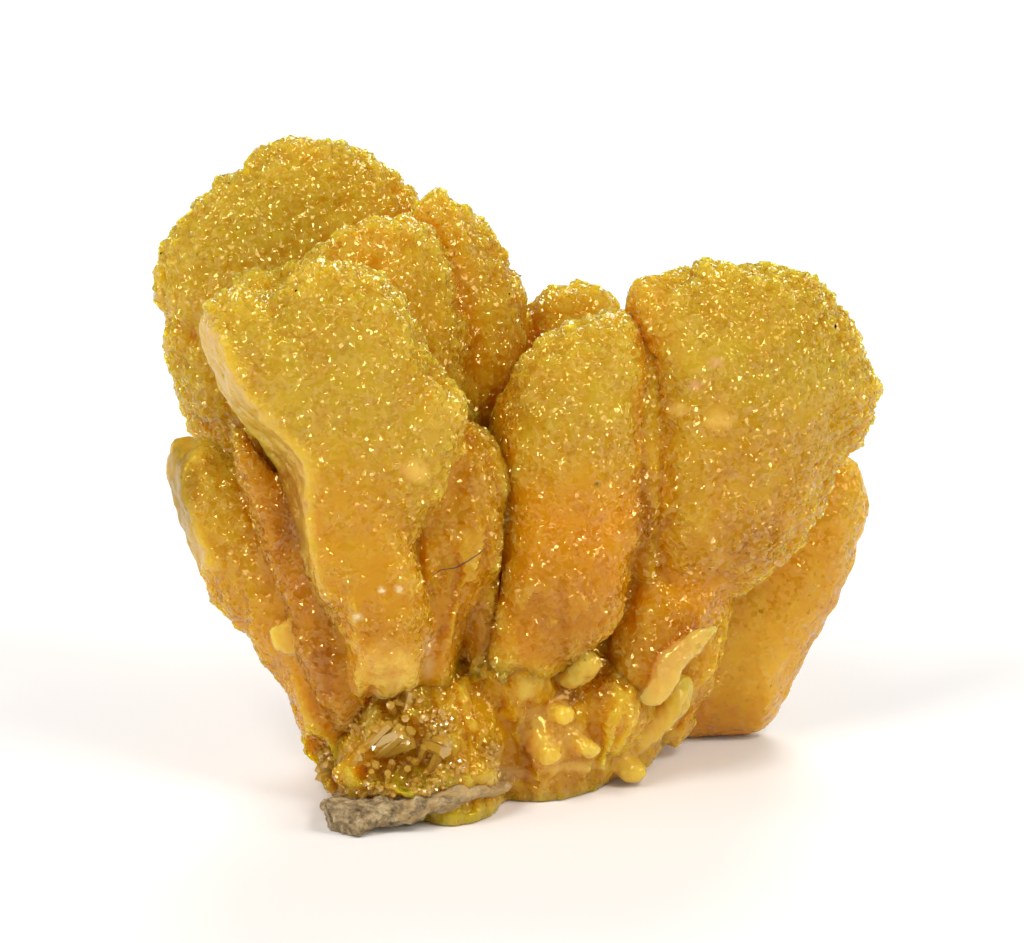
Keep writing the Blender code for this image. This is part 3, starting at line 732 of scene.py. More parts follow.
# %% [markdown]
# ## The crystals of the skins
# In this crust only the points and edges of the crystals show, as small flat facets that lean
# every way. A cone for every crystal would show their flanks too, at several times the faces.
# A triangle is flat by nature, so the skin's own triangles can be the facets: each point is
# raised or sunk at random, and no triangle is smoothed with its neighbours.
#
# ## The four skins
# The growth is one piece, but one skin of it all would have too many crystals for a file that
# can be handled, so the petals at the back, those at the left and right of the front, and the
# foot are four closed skins that run into each other. Tall crystals stand on the upper petals
# and at the rims. They are lower on the skirts, and the right wing and the broken sides are all
# but smooth.

# %% How each petal is finished
# For each name: the relief of its crystals in millimetres, its colour from olive yellow, 0, to
# brown orange, 1, and how far it is split in flat planes instead of grown in crystals.
FINISH = {
    "back_left_fan": (0.075, 0.20, 0.0),
    "shoulder_petal": (0.075, 0.34, 0.0),
    "notch_petal": (0.070, 0.38, 0.0),
    "far_petal": (0.070, 0.36, 0.0),
    "back_petal": (0.065, 0.40, 0.0),
    "low_back_petal": (0.055, 0.50, 0.3),
    "centre_petal": (0.070, 0.35, 0.0),
    "centre_skirt": (0.060, 1.00, 0.5),
    "right_fan": (0.085, 0.32, 0.0),
    "right_skirt": (0.055, 0.90, 0.5),
    "right_wing": (0.030, 0.52, 0.3),
    "side_blade": (0.050, 0.80, 0.8),
    "left_wing": (0.050, 0.42, 0.6),
    "left_rib": (0.060, 1.00, 0.5),
    "front_tongue": (0.070, 0.28, 0.1),
    "between_fans": (0.080, 0.45, 0.2),
    "beside_centre": (0.080, 0.60, 0.2),
    "between_blades": (0.070, 0.70, 0.4),
}
MASS_FINISH = (0.045, 0.50, 1.0)

# %% The skins: the spacing of their points in millimetres, their petals and their masses
SKINS = {
    "back_skin": (
        0.18,
        ("back_left_fan", "shoulder_petal", "notch_petal", "far_petal", "back_petal"),
        ("back_root", "left_core", "centre_core"),
    ),
    "left_skin": (
        0.17,
        ("front_tongue", "left_wing", "left_rib", "side_blade"),
        ("between_blades",),
    ),
    "right_skin": (
        0.17,
        (
            "centre_petal", "centre_skirt", "right_fan", "right_skirt", "right_wing",
            "low_back_petal",
        ),
        ("right_core", "between_fans", "beside_centre"),
    ),
    "foot_skin": (
        0.16,
        (),
        (
            "left_root", "right_root", "middle_root", "front_foot", "over_rock", "under_skirt",
            "under_right_skirt",
        ),
    ),
}


def finish_of(points, owner, out, along):
    """Relief, tint and split at each point. Relief grows towards the tip and the rim, and olive
    towards the tip.
    """
    table = np.array([FINISH.get(part, MASS_FINISH) for part in PART_NAMES])
    rise, tint, split = table[owner].T
    rise = rise * (0.45 + 0.45 * along**2 + 0.3 * out**4)
    return rise, np.clip(tint + 0.7 * (0.5 - along), 0, 1), split * (1.0 - 0.8 * along**2)


# %% [markdown]
# ## Patches
# The real specimen has pale, pinkish and lemon yellow places, a red-brown rib, and white and dark
# specks. Other spots paint shade and light: brown shade in its clefts and cavities, a darker shade
# on the left wing's lit edge, and lemon light on the lower right wing, which lies in shade. Painting
# them on an image would tie them to one view. Here each is a spot on the picture plane with an
# uneven rim, kept at the points of the skin as a number.

# %% Patches of another colour
# X and V of the middle, the radii across and up, and how deep the spot reaches.
PATCHES = {
    "pale": (
        (-6.9, 8.6, 2.3, 1.9, 3.0),
        (-5.6, 19.4, 0.9, 0.8, 3.0),
        (8.4, 22.6, 0.7, 0.5, 9.0),
        (10.6, 22.0, 0.9, 0.7, 9.0),
        (3.0, 3.5, 2.2, 0.35, 9.0),
        (-1.1, 4.1, 0.6, 0.9, 5.0),
    ),
    "pink": (
        (10.4, 25.1, 0.6, 0.4, 9.0),
        (9.3, 23.9, 0.5, 0.4, 9.0),
        (7.7, 10.5, 1.6, 1.6, 6.0),
        (-0.6, 3.0, 1.6, 0.5, 9.0),
        (-4.9, 9.6, 0.5, 1.6, 6.0),
    ),
    # Brown: the first two spots are the left rib's own red brown; the other six are painted shade in
    # clefts, gaps and a cavity.
    "brown": (
        (-12.4, 16.8, 1.3, 4.4, 9.0),
        (-10.4, 9.4, 1.1, 4.0, 9.0),
        (-2.0, 10.4, 1.0, 2.4, 9.0),
        (0.4, 4.9, 0.9, 2.6, 9.0),
        (2.5, 7.4, 1.0, 0.8, 9.0),
        (4.3, 8.8, 0.9, 2.0, 9.0),
        (-10.0, 2.8, 0.6, 1.1, 9.0),
        (6.6, 17.0, 0.6, 3.6, 9.0),
    ),
    # Painted shade: darkens the left wing's edge band, where the lights from behind and the side
    # fall.
    "dull": ((-18.2, 17.2, 1.3, 5.0, 12.0),),
    "white": (
        (-7.3, 13.0, 0.2, 0.2, 9.0),
        (-6.4, 13.1, 0.25, 0.2, 9.0),
        (-8.6, 11.6, 0.3, 0.3, 9.0),
    ),
    "speck": ((4.1, 18.6, 0.16, 0.16, 9.0), (7.2, 25.4, 0.14, 0.14, 9.0)),
    # Lemon: the pale yellow crust, ridge and glassy places of the foot on the first three spots and
    # the last; the fourth spot is painted light on the lower right wing, which lies in shade.
    "lemon_and_light": (
        (-6.2, 2.7, 3.0, 0.9, 6.0),
        (-3.0, 1.0, 2.2, 0.8, 6.0),
        (5.6, 4.4, 2.2, 2.0, 9.0),
        (13.0, 9.0, 4.0, 5.0, 30.0),
        (-4.0, 4.8, 0.6, 2.8, 6.0),
    ),
}
PATCH_RIM = 1.3


def from_spot(x, v, spot):
    """The squared distance from the middle of a spot, counted in its radii."""
    middle_x, middle_v, across, up, _ = spot
    return ((x - middle_x) / across) ** 2 + ((v - middle_v) / up) ** 2


def patch_shares(points):
    """For each colour, 1 in the middle of a spot, falling to 0 at its uneven rim."""
    x, v, depth = to_picture(points)
    uneven = 0.5 * lumps(points, 0.9)
    shares = {}
    for colour, spots in PATCHES.items():
        share = np.zeros(len(points))
        for spot in spots:
            inside = np.clip(PATCH_RIM - from_spot(x, v, spot) - uneven, 0.0, 1.0)
            share = np.maximum(share, inside * (depth < spot[-1]))
        shares[colour] = share
    return shares


# %% [markdown]
# ## The lip of the tongue
# The front tongue ends low down in a torn lip. Its outline has the lip's main shape, and the
# teeth are too fine for an outline, so the skin's points there are moved up and down instead.

# %% The tongue's torn lip
LIP = 8.9
LIP_REACH = 1.5


def ragged(points, owner):
    """Below the lip's level the tongue is drawn out and in along V, by lumps read across it."""
    x, v, depth = to_picture(points)
    share = np.clip((LIP - v) / LIP_REACH, 0.0, 1.0) * (owner == PART_NAMES.index("front_tongue"))
    across = np.stack([x, 0.0 * x, 0.3 * depth], axis=1)
    teeth = 0.9 * lumps(across, 1.1) + 0.4 * lumps(across, 0.5) - 0.8
    return to_space(x, v + share * teeth, depth)


# %% [markdown]
# ## Growing a skin
# The order matters. The skin is fused and read first, while it still has the plain shape of the
# outlines. Then it is lifted by lumps, splits and grains, softened in the creases, shaken, and
# pressed into the hollows. Last, each point rises or sinks by its crystal, and the values that
# the finish needs are kept on the mesh as attributes.

# %% Reliefs: the size of each in millimetres, and its height or slope
CHIPS = ((2.6, 0.35), (1.1, 0.22), (0.6, 0.1))
CHIP_LEVEL = 0.6
SPLITS = ((2.4, 0.22), (1.2, 0.26), (0.6, 0.22), (0.35, 0.2))
UPRIGHT = np.array([1.0, 1.0, 0.4])
GRAIN = 0.42


def relief_of(points, rise, out, split, broken, calm):
    """Lumps, upright splits and grains together, held back where the skin is calm, and chips
    where it is broken."""
    scallop = (0.4 + 1.7 * out**4) * (1.0 - 0.5 * split)
    chipped = sum(height * (lumps(points, apart) - CHIP_LEVEL) for apart, height in CHIPS)
    flats = sum(slope * planes(points * UPRIGHT, apart) for apart, slope in SPLITS)
    grains = planes(points, GRAIN) * rise * (2.0 + 3.0 * out**4)
    return (swell(points) * scallop + flats * split + grains) * calm + chipped * broken


# %% Creases, hollows, and the painted shade of sunk places and painted light of raised ones
CREASE_STEPS = 12
SHAKE = 0.38
HOLLOW_RISE = 0.04
# Hollows count this far into a crease, so they get the painted crease shade.
HOLLOW_SHADE = 0.9
CLUSTER = 1.15
SOFT_STEPS = 80
TINT_STEPS = 60


def soften(points, triangles, crease):
    """In a crease, nearly all the way to the skin's own smoothed shape."""
    softened = relax(points, triangles, 0.6, CREASE_STEPS)
    share = 0.9 * np.clip(2.0 * crease - 0.6, 0.0, 1.0)
    return points + (softened - points) * share[:, None]


def press_hollows(name, points, triangles):
    """Both hollows are pressed in and smoothed, and the foot is cut by the flat."""
    in_vug = False
    if name == "foot_skin":
        points, in_vug = press_back(points, VUG, VUG_WOBBLE, VUG_FLOOR)
    points, in_edge = press_back(points, EDGE_POCKET)
    hollow = in_vug | in_edge
    points = np.where(hollow[:, None], relax(points, triangles, 0.5, 4), points)
    return stand_flat(points), hollow


def depth_shares(points, triangles, outward):
    """How far a point lies under the skin's smoothed shape, for a painted shade in sunk places, or
    above it, for a painted light on raised places.
    """
    sunk = ((relax(points, triangles, 0.9, SOFT_STEPS) - points) * outward).sum(axis=1)
    return {
        "deep": np.clip(sunk / 0.4 - 0.15, 0.0, 0.7),
        "ridge": np.clip(-sunk / 0.7 - 0.15, 0.0, 0.5),
    }


# %% Making a skin
SURFACES = {}
SMALL_PALE = 0.6
RIB_BROWN = 0.5
SMOOTH_BELOW = 0.02


def make_skin(name, spacing, petals, masses, seed):
    """One closed skin of triangles, with its crystals and the attributes of its finish."""
    draws = np.random.default_rng(seed)
    shells = [petal_shell(petal) for petal in PETALS if petal["name"] in petals]
    shells += [mass_shell(middle, radii) for mass, middle, radii in ROOTS if mass in masses]
    shells += SMALL_SHELLS.get(name, [])
    points, quads = fused_skin(name, shells, spacing)
    triangles = random_triangles(quads, draws)
    points = relax(points, triangles, 0.5, 2)

    owner, crease, out, broken, along = read_place(points)
    rise, tint, split = finish_of(points, owner, out, along)
    tint = relax(tint[:, None], triangles, 0.9, TINT_STEPS)[:, 0]
    finger = on_fingers(points) if name == "foot_skin" else 0.0 * rise
    pink_flake, pale_flake = (on_flake(flake, points) for flake in FLAKES)
    small = np.maximum(finger, np.maximum(pink_flake, pale_flake))
    patches = patch_shares(points)
    cluster = np.clip(1.8 * lumps(points, CLUSTER) - 0.4, 0.1, 1.2)
    # The crease measure softens the skin in the creases and, kept on the mesh, paints a shade into
    # them; it is weaker on fingers, flakes and masses.
    crease = crease * (1.0 - small) * np.where(owner < len(PETALS), 1.0, 0.4)
    rise = rise * (1.0 - 0.5 * small) * (1.0 - 0.8 * patches["pale"]) * (0.4 + 0.6 * cluster)
    on_wing = owner == PART_NAMES.index("right_wing")
    calm = np.where(on_wing, 0.4, 1.0) * (1.0 - broken) * (1.0 - 0.4 * small)
    calm = calm * np.clip(0.4 + points[:, 2], 0.4, 1.0)

    normals = normals_of(points, triangles)
    relief = relief_of(points, rise, out, split, broken, calm)
    points = relax(points + normals * relief[:, None], triangles, 0.4)
    points = ragged(soften(points, triangles, crease), owner)
    points = shake(points, normals, SHAKE * spacing, draws)
    jump = draws.uniform(-0.6, 0.6, len(points)) * (1.0 + 0.7 * out**4)
    points, hollow = press_hollows(name, points, triangles)
    rise = np.where(hollow, HOLLOW_RISE, rise * (1.0 - 0.9 * broken)) * (points[:, 2] > 0.05)
    points = stand_flat(points + normals_of(points, triangles) * (rise * jump)[:, None])

    outward = normals_of(relax(points, triangles, 0.5, 3), triangles)
    on_small = SMALL_PALE * np.maximum(finger, np.maximum(pale_flake, pink_flake))
    on_rib = RIB_BROWN * (owner == PART_NAMES.index("left_rib"))
    patches["pale"] = np.maximum(patches["pale"], on_small)
    patches["pink"] = np.maximum(patches["pink"], SMALL_PALE * pink_flake)
    patches["brown"] = np.maximum(patches["brown"], on_rib)
    # Through these layers the colour paints shade into creases, hollows, sunk places, clefts and the
    # left wing's edge band, and light onto raised places and the lower right wing.
    layers = {
        # Creases and hollows carry a painted shade: a deeper orange where shade falls and light
        # through the stone would colour them.
        "crease": np.where(hollow, HOLLOW_SHADE, crease),
        "tint": tint,
        "broken": broken,
        "sparkle": np.clip(rise / 0.05, 0.0, 1.0) * cluster,
        **patches,
        **depth_shares(points, triangles, outward),
    }
    mesh = mesh_from(name, points * MM, [triangles])
    for layer, values in layers.items():
        set_values(mesh, layer, values)
    mesh.polygons.foreach_set("use_smooth", rise[triangles].max(axis=1) < SMOOTH_BELOW)
    mesh.update()
    SURFACES[name] = (points, outward)
    print(name, len(triangles), "triangles")
    return new_piece(name, mesh)


# %% The four skins
skins = [
    make_skin(name, *how, seed) for seed, (name, how) in enumerate(SKINS.items(), start=11)
]

# %% [markdown]
# ## The chip of rock
# A grey-brown scrap of the rock it grew on is left under the front corner, with a coat of pale
# mimetite at its right end. A displaced cube would do for a scrap, but a shell drawn like the
# petals keeps its place and outline. It is roughened by lumps of four sizes, and flat below.

# %% The rock
ROUGH = ((1.6, 0.5), (0.8, 0.3), (0.4, 0.18), (0.2, 0.07))
ROUGH_LEVEL = 0.7
ROCK_TOUCH = 0.1
COATED_FROM = -5.5
COAT_FADE = 5.0


def rock_mesh():
    """The rock's shell, a touch larger than its outline, raised and sunk by lumps."""
    points, quads, fans = close_shell(petal_shell(ROCK, 220, 101, ROCK_TOUCH))
    corners = np.concatenate([quads[:, [0, 1, 2]], quads[:, [0, 2, 3]], fans])
    rise = sum(height * (lumps(points, apart) - ROUGH_LEVEL) for apart, height in ROUGH)
    points = points + normals_of(points, corners) * rise[:, None]
    mesh = mesh_from("rock_chip", stand_flat(points) * MM, [quads, fans])
    uneven = 2.0 * lumps(points, 1.0) + 2.0 * lumps(points, 0.4) - 2.8
    coated = (points[:, 0] - COATED_FROM) / COAT_FADE + uneven
    set_values(mesh, "coated", np.clip(coated, 0.0, 0.75))
    return mesh


rock = new_piece("rock_chip", rock_mesh())
print("rock:", len(rock.data.polygons), "faces")

# %% [markdown]
# ## Clear crystals
# Glassy prisms stand in both hollows, and smaller ones in patches on the foot. Geometry Nodes
# could scatter copies of one crystal, but here each has its own length, width and lean. One
# prism is a foot, a low ring, a high ring and a point, and all of them are worked out at once,
# one row of the arrays for each crystal.

# %% Prisms
SIDES = 6
PRISM_CORNERS = 2 * SIDES + 2


def prisms(feet, aims, lengths, radii, turns, point):
    """Six sides round the aim, a point that is that many radii high, and a closed foot."""
    aims = aims / np.linalg.norm(aims, axis=1, keepdims=True)
    side = np.cross(aims, (0.31, 0.17, 0.93))
    side /= np.linalg.norm(side, axis=1, keepdims=True)
    third = np.cross(aims, side)
    angle = turns[:, None] + np.arange(SIDES) * math.pi / 3
    ring = np.cos(angle)[..., None] * side[:, None] + np.sin(angle)[..., None] * third[:, None]
    low = feet[:, None] + ring * radii[:, None, None]
    high = low + (aims * lengths[:, None])[:, None]
    top = feet + aims * (lengths + point * radii)[:, None]
    points = np.concatenate([low, high, top[:, None], feet[:, None]], axis=1).reshape(-1, 3)
    k, after = np.arange(SIDES), np.roll(np.arange(SIDES), -1)
    sides = np.stack([k, after, SIDES + after, SIDES + k], axis=1)
    tips = np.stack([SIDES + k, SIDES + after, 0 * k + 2 * SIDES], axis=1)
    caps = np.concatenate([tips, np.stack([after, k, 0 * k + 2 * SIDES + 1], axis=1)])
    start = (np.arange(len(feet)) * PRISM_CORNERS)[:, None, None]
    return points, (sides + start).reshape(-1, 4), (caps + start).reshape(-1, 3)


def grown_on_foot(
    spots, count, longest, thickest, aim, spread, seed, smallest=0.35, point=0.9
):
    """Crystals whose feet are points of the foot's skin that face the viewer inside the spots.
    Each follows the skin's normal, drawn towards one aim, with some spread."""
    draws = np.random.default_rng(seed)
    points, normals = SURFACES["foot_skin"]
    x, v, depth = to_picture(points)
    inside = np.zeros(len(points), bool)
    for spot in spots:
        inside |= (from_spot(x, v, spot) < 1.0) & (depth < spot[-1])
    rows = draws.choice(np.flatnonzero(inside & (normals[:, 1] < 0.2)), count)
    aims = normals[rows] + np.array(aim) + spread * draws.uniform(-1, 1, (count, 3))
    size = smallest + (1.0 - smallest) * draws.random(count) ** 2
    lengths = longest * size * draws.uniform(0.6, 1.1, count)
    radii = thickest * size * draws.uniform(0.7, 1.2, count)
    turns = draws.uniform(0, math.pi, count)
    return prisms(points[rows] - 0.1 * normals[rows], aims, lengths, radii, turns, point)


# %% The crystals of the hollows and the small ones beside them: spots as for the patches
VUG_SPOT = ((-6.6, 4.9, 2.4, 2.4, 4.0),)
VUG_CORNER = ((-7.8, 3.9, 1.1, 1.1, 4.0),)
EDGE_SPOT = ((-11.0, 3.9, 1.1, 1.3, 6.0),)
DRUSE_SPOTS = (
    (-4.3, 5.2, 0.6, 1.7, 3.0),
    (-4.9, 2.9, 1.1, 0.7, 3.0),
    (-3.3, 3.7, 0.5, 0.5, 3.0),
    (-7.6, 2.4, 1.0, 0.4, 3.0),
    (-10.5, 7.2, 0.5, 0.8, 5.0),
    (-1.4, 4.2, 0.5, 0.7, 4.0),
)
CRYSTALS = {
    "vug_prisms": (
        dict(
            spots=VUG_CORNER, count=7, longest=2.7, thickest=0.42, aim=(2.0, -1.4, 2.4),
            spread=1.2, seed=4, smallest=0.8, point=0.15,
        ),
        dict(
            spots=VUG_SPOT, count=16, longest=1.6, thickest=0.36, aim=(0.8, -0.6, 1.0),
            spread=1.1, seed=7, smallest=0.6, point=0.15,
        ),
        dict(
            spots=VUG_SPOT, count=60, longest=0.8, thickest=0.26, aim=(0.3, 0.0, 0.4),
            spread=0.9, seed=5,
        ),
    ),
    "edge_prisms": (
        dict(
            spots=EDGE_SPOT, count=40, longest=0.8, thickest=0.3, aim=(-0.3, -0.3, 0.2),
            spread=0.7, seed=9,
        ),
    ),
    "foot_druse": (
        dict(
            spots=DRUSE_SPOTS, count=520, longest=0.34, thickest=0.2, aim=(0.0, -0.3, 0.0),
            spread=0.9, seed=6,
        ),
    ),
}


def crystal_piece(name, groups):
    """One piece from several groups of crystals, cut off at the flat."""
    points, faces = joined(grown_on_foot(**group) for group in groups)
    mesh = mesh_from(name, stand_flat(points) * MM, faces)
    print(name, len(mesh.polygons), "faces")
    return new_piece(name, mesh)


vug_crystals, edge_crystals, druse = (crystal_piece(*item) for item in CRYSTALS.items())

# %% [markdown]
# ## A hair of lint
# One dark hair clings to the side blade. A curve with a bevel would make it, but it has to
# follow the skin under it, so it is a thin tube worked out here: at each of its points the
# foremost corner of the skin close by gives the depth.

# %% The hair: X and V of its points
HAIR = ((-4.6, 13.8), (-4.2, 14.1), (-3.4, 14.2), (-2.7, 14.6), (-2.1, 15.0), (-1.8, 15.3))
HAIR_RADIUS = 0.035
HAIR_LIFT = 0.12
HAIR_FEELS = 0.25


def hair_mesh(steps=30, sides=6):
    """Circles across the line between its points, and a closed end on either side."""
    points = SURFACES["left_skin"][0]
    x, v, depth = to_picture(points)
    line = np.array(HAIR)
    at = np.linspace(0, len(line) - 1, steps)
    line = np.stack([np.interp(at, np.arange(len(line)), column) for column in line.T], axis=1)
    depths = [depth[np.hypot(x - px, v - pv) < HAIR_FEELS].min() for px, pv in line]
    depths = np.convolve(np.pad(depths, 2, mode="edge"), np.ones(5) / 5, mode="valid")
    middle = to_space(line[:, 0], line[:, 1], depths - HAIR_LIFT)
    along = np.gradient(middle, axis=0)
    side = np.cross(along, (0.0, 1.0, 0.0))
    side /= np.linalg.norm(side, axis=1, keepdims=True)
    third = np.cross(side, along)
    third /= np.linalg.norm(third, axis=1, keepdims=True)
    angle = np.linspace(0.0, 2 * math.pi, sides, endpoint=False)[None, :, None]
    taper = np.sin(np.linspace(0.0, math.pi, steps))[:, None, None] ** 0.3
    ring = np.cos(angle) * side[:, None] + np.sin(angle) * third[:, None]
    corners, quads, fans = close_shell(middle[:, None] + HAIR_RADIUS * taper * ring)
    return mesh_from("lint_hair", corners * MM, [quads, fans])


hair = new_piece("lint_hair", hair_mesh())
print("hair:", len(hair.data.polygons), "faces")

# %% [markdown]
# ## Materials
# A material is a tree of nodes. One helper adds a node with its settings and feeds its inputs,
# so each finish below reads as a list of what goes into what. Every pattern is on Object
# coordinates, which stay with a piece as it moves.

# %% Nodes
OPAQUE = (1.0,)
MIX_SHARE, MIX_FIRST, MIX_SECOND, MIX_RESULT = 0, 6, 7, 2


def add_node(tree, kind, inputs=None, **settings):
    """A shader node with its settings. Its inputs, by number or name, are linked to an output of
    another node or set to a plain value. A colour of three numbers is opaque."""
    node = tree.nodes.new("ShaderNode" + kind)
    for name, value in settings.items():
        setattr(node, name, value)
    for key, value in (inputs or {}).items():
        socket = node.inputs[key]
        if isinstance(value, bpy.types.NodeSocket):
            tree.links.new(value, socket)
        else:
            socket.default_value = value + OPAQUE if socket.type == "RGBA" else value
    return node


def new_material(name):
    """A material and its empty tree."""
    made = bpy.data.materials.new(name)
    made.use_nodes = True
    made.node_tree.nodes.clear()
    return made, made.node_tree


def principled(tree, inputs):
    """The Principled shader with those inputs, on the material's output."""
    shader = add_node(tree, "BsdfPrincipled", inputs)
    add_node(tree, "OutputMaterial", {"Surface": shader.outputs[0]})


def attribute(tree, name):
    """The number that the mesh holds at each point under that name."""
    return add_node(tree, "Attribute", attribute_name=name).outputs["Fac"]


def calculate(tree, operation, *numbers, **settings):
    """A sum or product of sockets and numbers."""
    return add_node(
        tree, "Math", dict(enumerate(numbers)), operation=operation, **settings
    ).outputs[0]


def combine(tree, operation, *vectors):
    """The same for vectors."""
    return add_node(tree, "VectorMath", dict(enumerate(vectors)), operation=operation).outputs[0]


def mix(tree, share, first, second):
    """A colour that goes from the first to the second as the share goes from 0 to 1."""
    inputs = {MIX_SHARE: share, MIX_FIRST: first, MIX_SECOND: second}
    return add_node(tree, "Mix", inputs, data_type="RGBA").outputs[MIX_RESULT]


def ramp(tree, share, stops):
    """A colour for each place from 0 to 1, and even steps between them."""
    node = add_node(tree, "ValToRGB", {"Fac": share})
    elements = node.color_ramp.elements
    while len(elements) < len(stops):
        elements.new(0.5)
    for element, (place, colour) in zip(elements, stops):
        element.position = place
        element.color = colour + OPAQUE
    return node.outputs["Color"]


def pattern(tree, kind, millimetres, stretch=(1.0, 1.0, 1.0), **inputs):
    """A texture on Object coordinates whose features are about that many millimetres wide, and
    longer along an axis whose stretch is below 1."""
    place = add_node(tree, "TexCoord").outputs["Object"]
    place = add_node(tree, "Mapping", {"Vector": place, "Scale": stretch}).outputs[0]
    return add_node(tree, kind, {"Vector": place, "Scale": 1.0 / (millimetres * MM), **inputs})


# %% [markdown]
# ## The finish of mimetite
# Mimetite is a resinous, see-into yellow: light goes in, scatters and comes out deeper in
# colour. Principled's subsurface does that, with red reaching furthest and blue hardly at all.
# The values kept on each skin steer the colour: the tint of the petal, the pale broken sides, and
# patches of pale, pink, brown, lemon and white, and dark specks. Part of that colour is painted
# light and shade: creases and hollows are painted a deeper orange shade, sunk places a darker shade
# and raised places a paler light, most brown patches are painted shade in clefts, one patch paints
# shade on a lit edge, and one lemon patch paints light on a shaded wing. The sparkle is the facets'
# gloss. Most real crystals are finer than the facets, so each facet's normal is also leaned a
# little, a random way for each cell of a fine lattice.

# %% Glints of single crystals
GLINT_CELL = 0.24
GLINT_LEAN = 1.35
LEAST_LEAN = 0.1
HALF = (0.5, 0.5, 0.5)


def glints(tree):
    """The face's own normal plus a random vector for each cell, brought to length 1."""
    random_colour = pattern(tree, "TexVoronoi", GLINT_CELL).outputs["Color"]
    centred = combine(tree, "SUBTRACT", random_colour, HALF)
    amount = calculate(tree, "MULTIPLY_ADD", attribute(tree, "sparkle"), GLINT_LEAN, LEAST_LEAN)
    lean = add_node(tree, "VectorMath", {0: centred, "Scale": amount}, operation="SCALE")
    normal = add_node(tree, "NewGeometry").outputs["Normal"]
    return combine(tree, "NORMALIZE", combine(tree, "ADD", normal, lean.outputs[0]))


# %% The mimetite
TINTS = ((0.0, (0.50, 0.35, 0.02)), (0.5, (0.50, 0.245, 0.002)), (1.0, (0.34, 0.11, 0.001)))
GRAIN_COLOUR = (0.75, 0.50, 0.04)
GRAIN_SHARE = 0.12
UPRIGHT_STREAKS = (1.0, 1.0, 0.12)
LAYER_COLOURS = {
    # Painted shade and glow: the deeper orange of creases and hollows.
    "crease": (0.64, 0.27, 0.001),
    # Painted shade in sunk places.
    "deep": (0.49, 0.18, 0.0006),
    # Painted light on raised places.
    "ridge": (0.64, 0.45, 0.05),
    "broken": (0.58, 0.38, 0.04),
    # Pale yellow of the crust, and painted light on the shaded lower right wing.
    "lemon_and_light": (0.60, 0.35, 0.015),
    # The rib's own red brown, and painted shade in clefts and cavities.
    "brown": (0.34, 0.11, 0.001),
    # Painted shade on the left wing's edge band.
    "dull": (0.28, 0.19, 0.01),
    "pale": (0.72, 0.46, 0.09),
    "pink": (0.62, 0.36, 0.11),
    "white": (0.80, 0.68, 0.42),
    "speck": (0.03, 0.02, 0.01),
}


def mimetite_colour(tree):
    """The petal's tint made uneven by clouds and upright streaks, grains over it, and then each
    layer's colour by its own value. Some layers are painted shade, in creases, hollows, sunk places,
    clefts and on one edge, and some painted light, on raised places and one shaded wing."""
    tint = attribute(tree, "tint")
    clouds = pattern(tree, "TexNoise", 5.0, Detail=3.0).outputs["Fac"]
    streaks = pattern(tree, "TexNoise", 0.9, UPRIGHT_STREAKS, Detail=2.0).outputs["Fac"]
    for noise, amount in ((clouds, 0.9), (streaks, 0.55)):
        tint = calculate(tree, "MULTIPLY_ADD", noise, amount, tint)
    body = ramp(tree, calculate(tree, "SUBTRACT", tint, 0.72, use_clamp=True), TINTS)
    grain = pattern(tree, "TexNoise", 0.5, Detail=2.0).outputs["Fac"]
    body = mix(tree, grain, body, mix(tree, GRAIN_SHARE, body, GRAIN_COLOUR))
    for name, colour in LAYER_COLOURS.items():
        body = mix(tree, attribute(tree, name), body, colour)
    return body


def mimetite_material():
    """Deep yellow scattering under a clear, leaning gloss. Broken places are more satin."""
    made, tree = new_material("mimetite")
    leaning = glints(tree)
    inputs = {
        "Base Color": mimetite_colour(tree),
        "Normal": leaning,
        "Roughness": calculate(tree, "MULTIPLY_ADD", attribute(tree, "broken"), 0.2, 0.12),
        "IOR": 1.55,
        "Specular IOR Level": 0.95,
        "Specular Tint": (1.0, 0.64, 0.18),
        "Coat Normal": leaning,
        "Coat Weight": calculate(tree, "MULTIPLY", attribute(tree, "sparkle"), 0.45),
        "Coat Roughness": 0.1,
        "Subsurface Weight": 1.0,
        "Subsurface Radius": (1.0, 0.6, 0.12),
        "Subsurface Scale": 0.005,
    }
    principled(tree, inputs)
    return made


# %% [markdown]
# ## The other finishes
# The clear crystals are mimetite too, with so few flaws that they let light through: amber
# glass with the mineral's high refraction. The rock is dull, in blotches from dark to straw
# brown. The lint is plain and dark.

# %% Clear crystal, rock and lint
ROCK_TINTS = (
    (0.36, (0.09, 0.06, 0.025)),
    (0.48, (0.24, 0.17, 0.08)),
    (0.56, (0.38, 0.28, 0.14)),
    (0.68, (0.56, 0.46, 0.27)),
)
ROCK_COAT = (0.50, 0.33, 0.12)


def clear_material():
    """Amber glass that lets a good half of the light through."""
    made, tree = new_material("clear_crystal")
    inputs = {
        "Base Color": (0.90, 0.56, 0.07),
        "Roughness": 0.03,
        "IOR": 2.1,
        "Transmission Weight": 0.55,
        "Specular Tint": (1.0, 0.94, 0.78),
    }
    principled(tree, inputs)
    return made


def rock_material():
    """Blotches of four browns, and the pale coat where the mesh says so."""
    made, tree = new_material("grey_brown_rock")
    blotches = pattern(tree, "TexNoise", 0.6, Detail=5.0, Roughness=0.7).outputs["Fac"]
    body = mix(tree, attribute(tree, "coated"), ramp(tree, blotches, ROCK_TINTS), ROCK_COAT)
    principled(tree, {"Base Color": body, "Roughness": 0.8})
    return made


def plain_material(name, colour, roughness):
    """One colour and roughness."""
    made, tree = new_material(name)
    principled(tree, {"Base Color": colour, "Roughness": roughness})
    return made


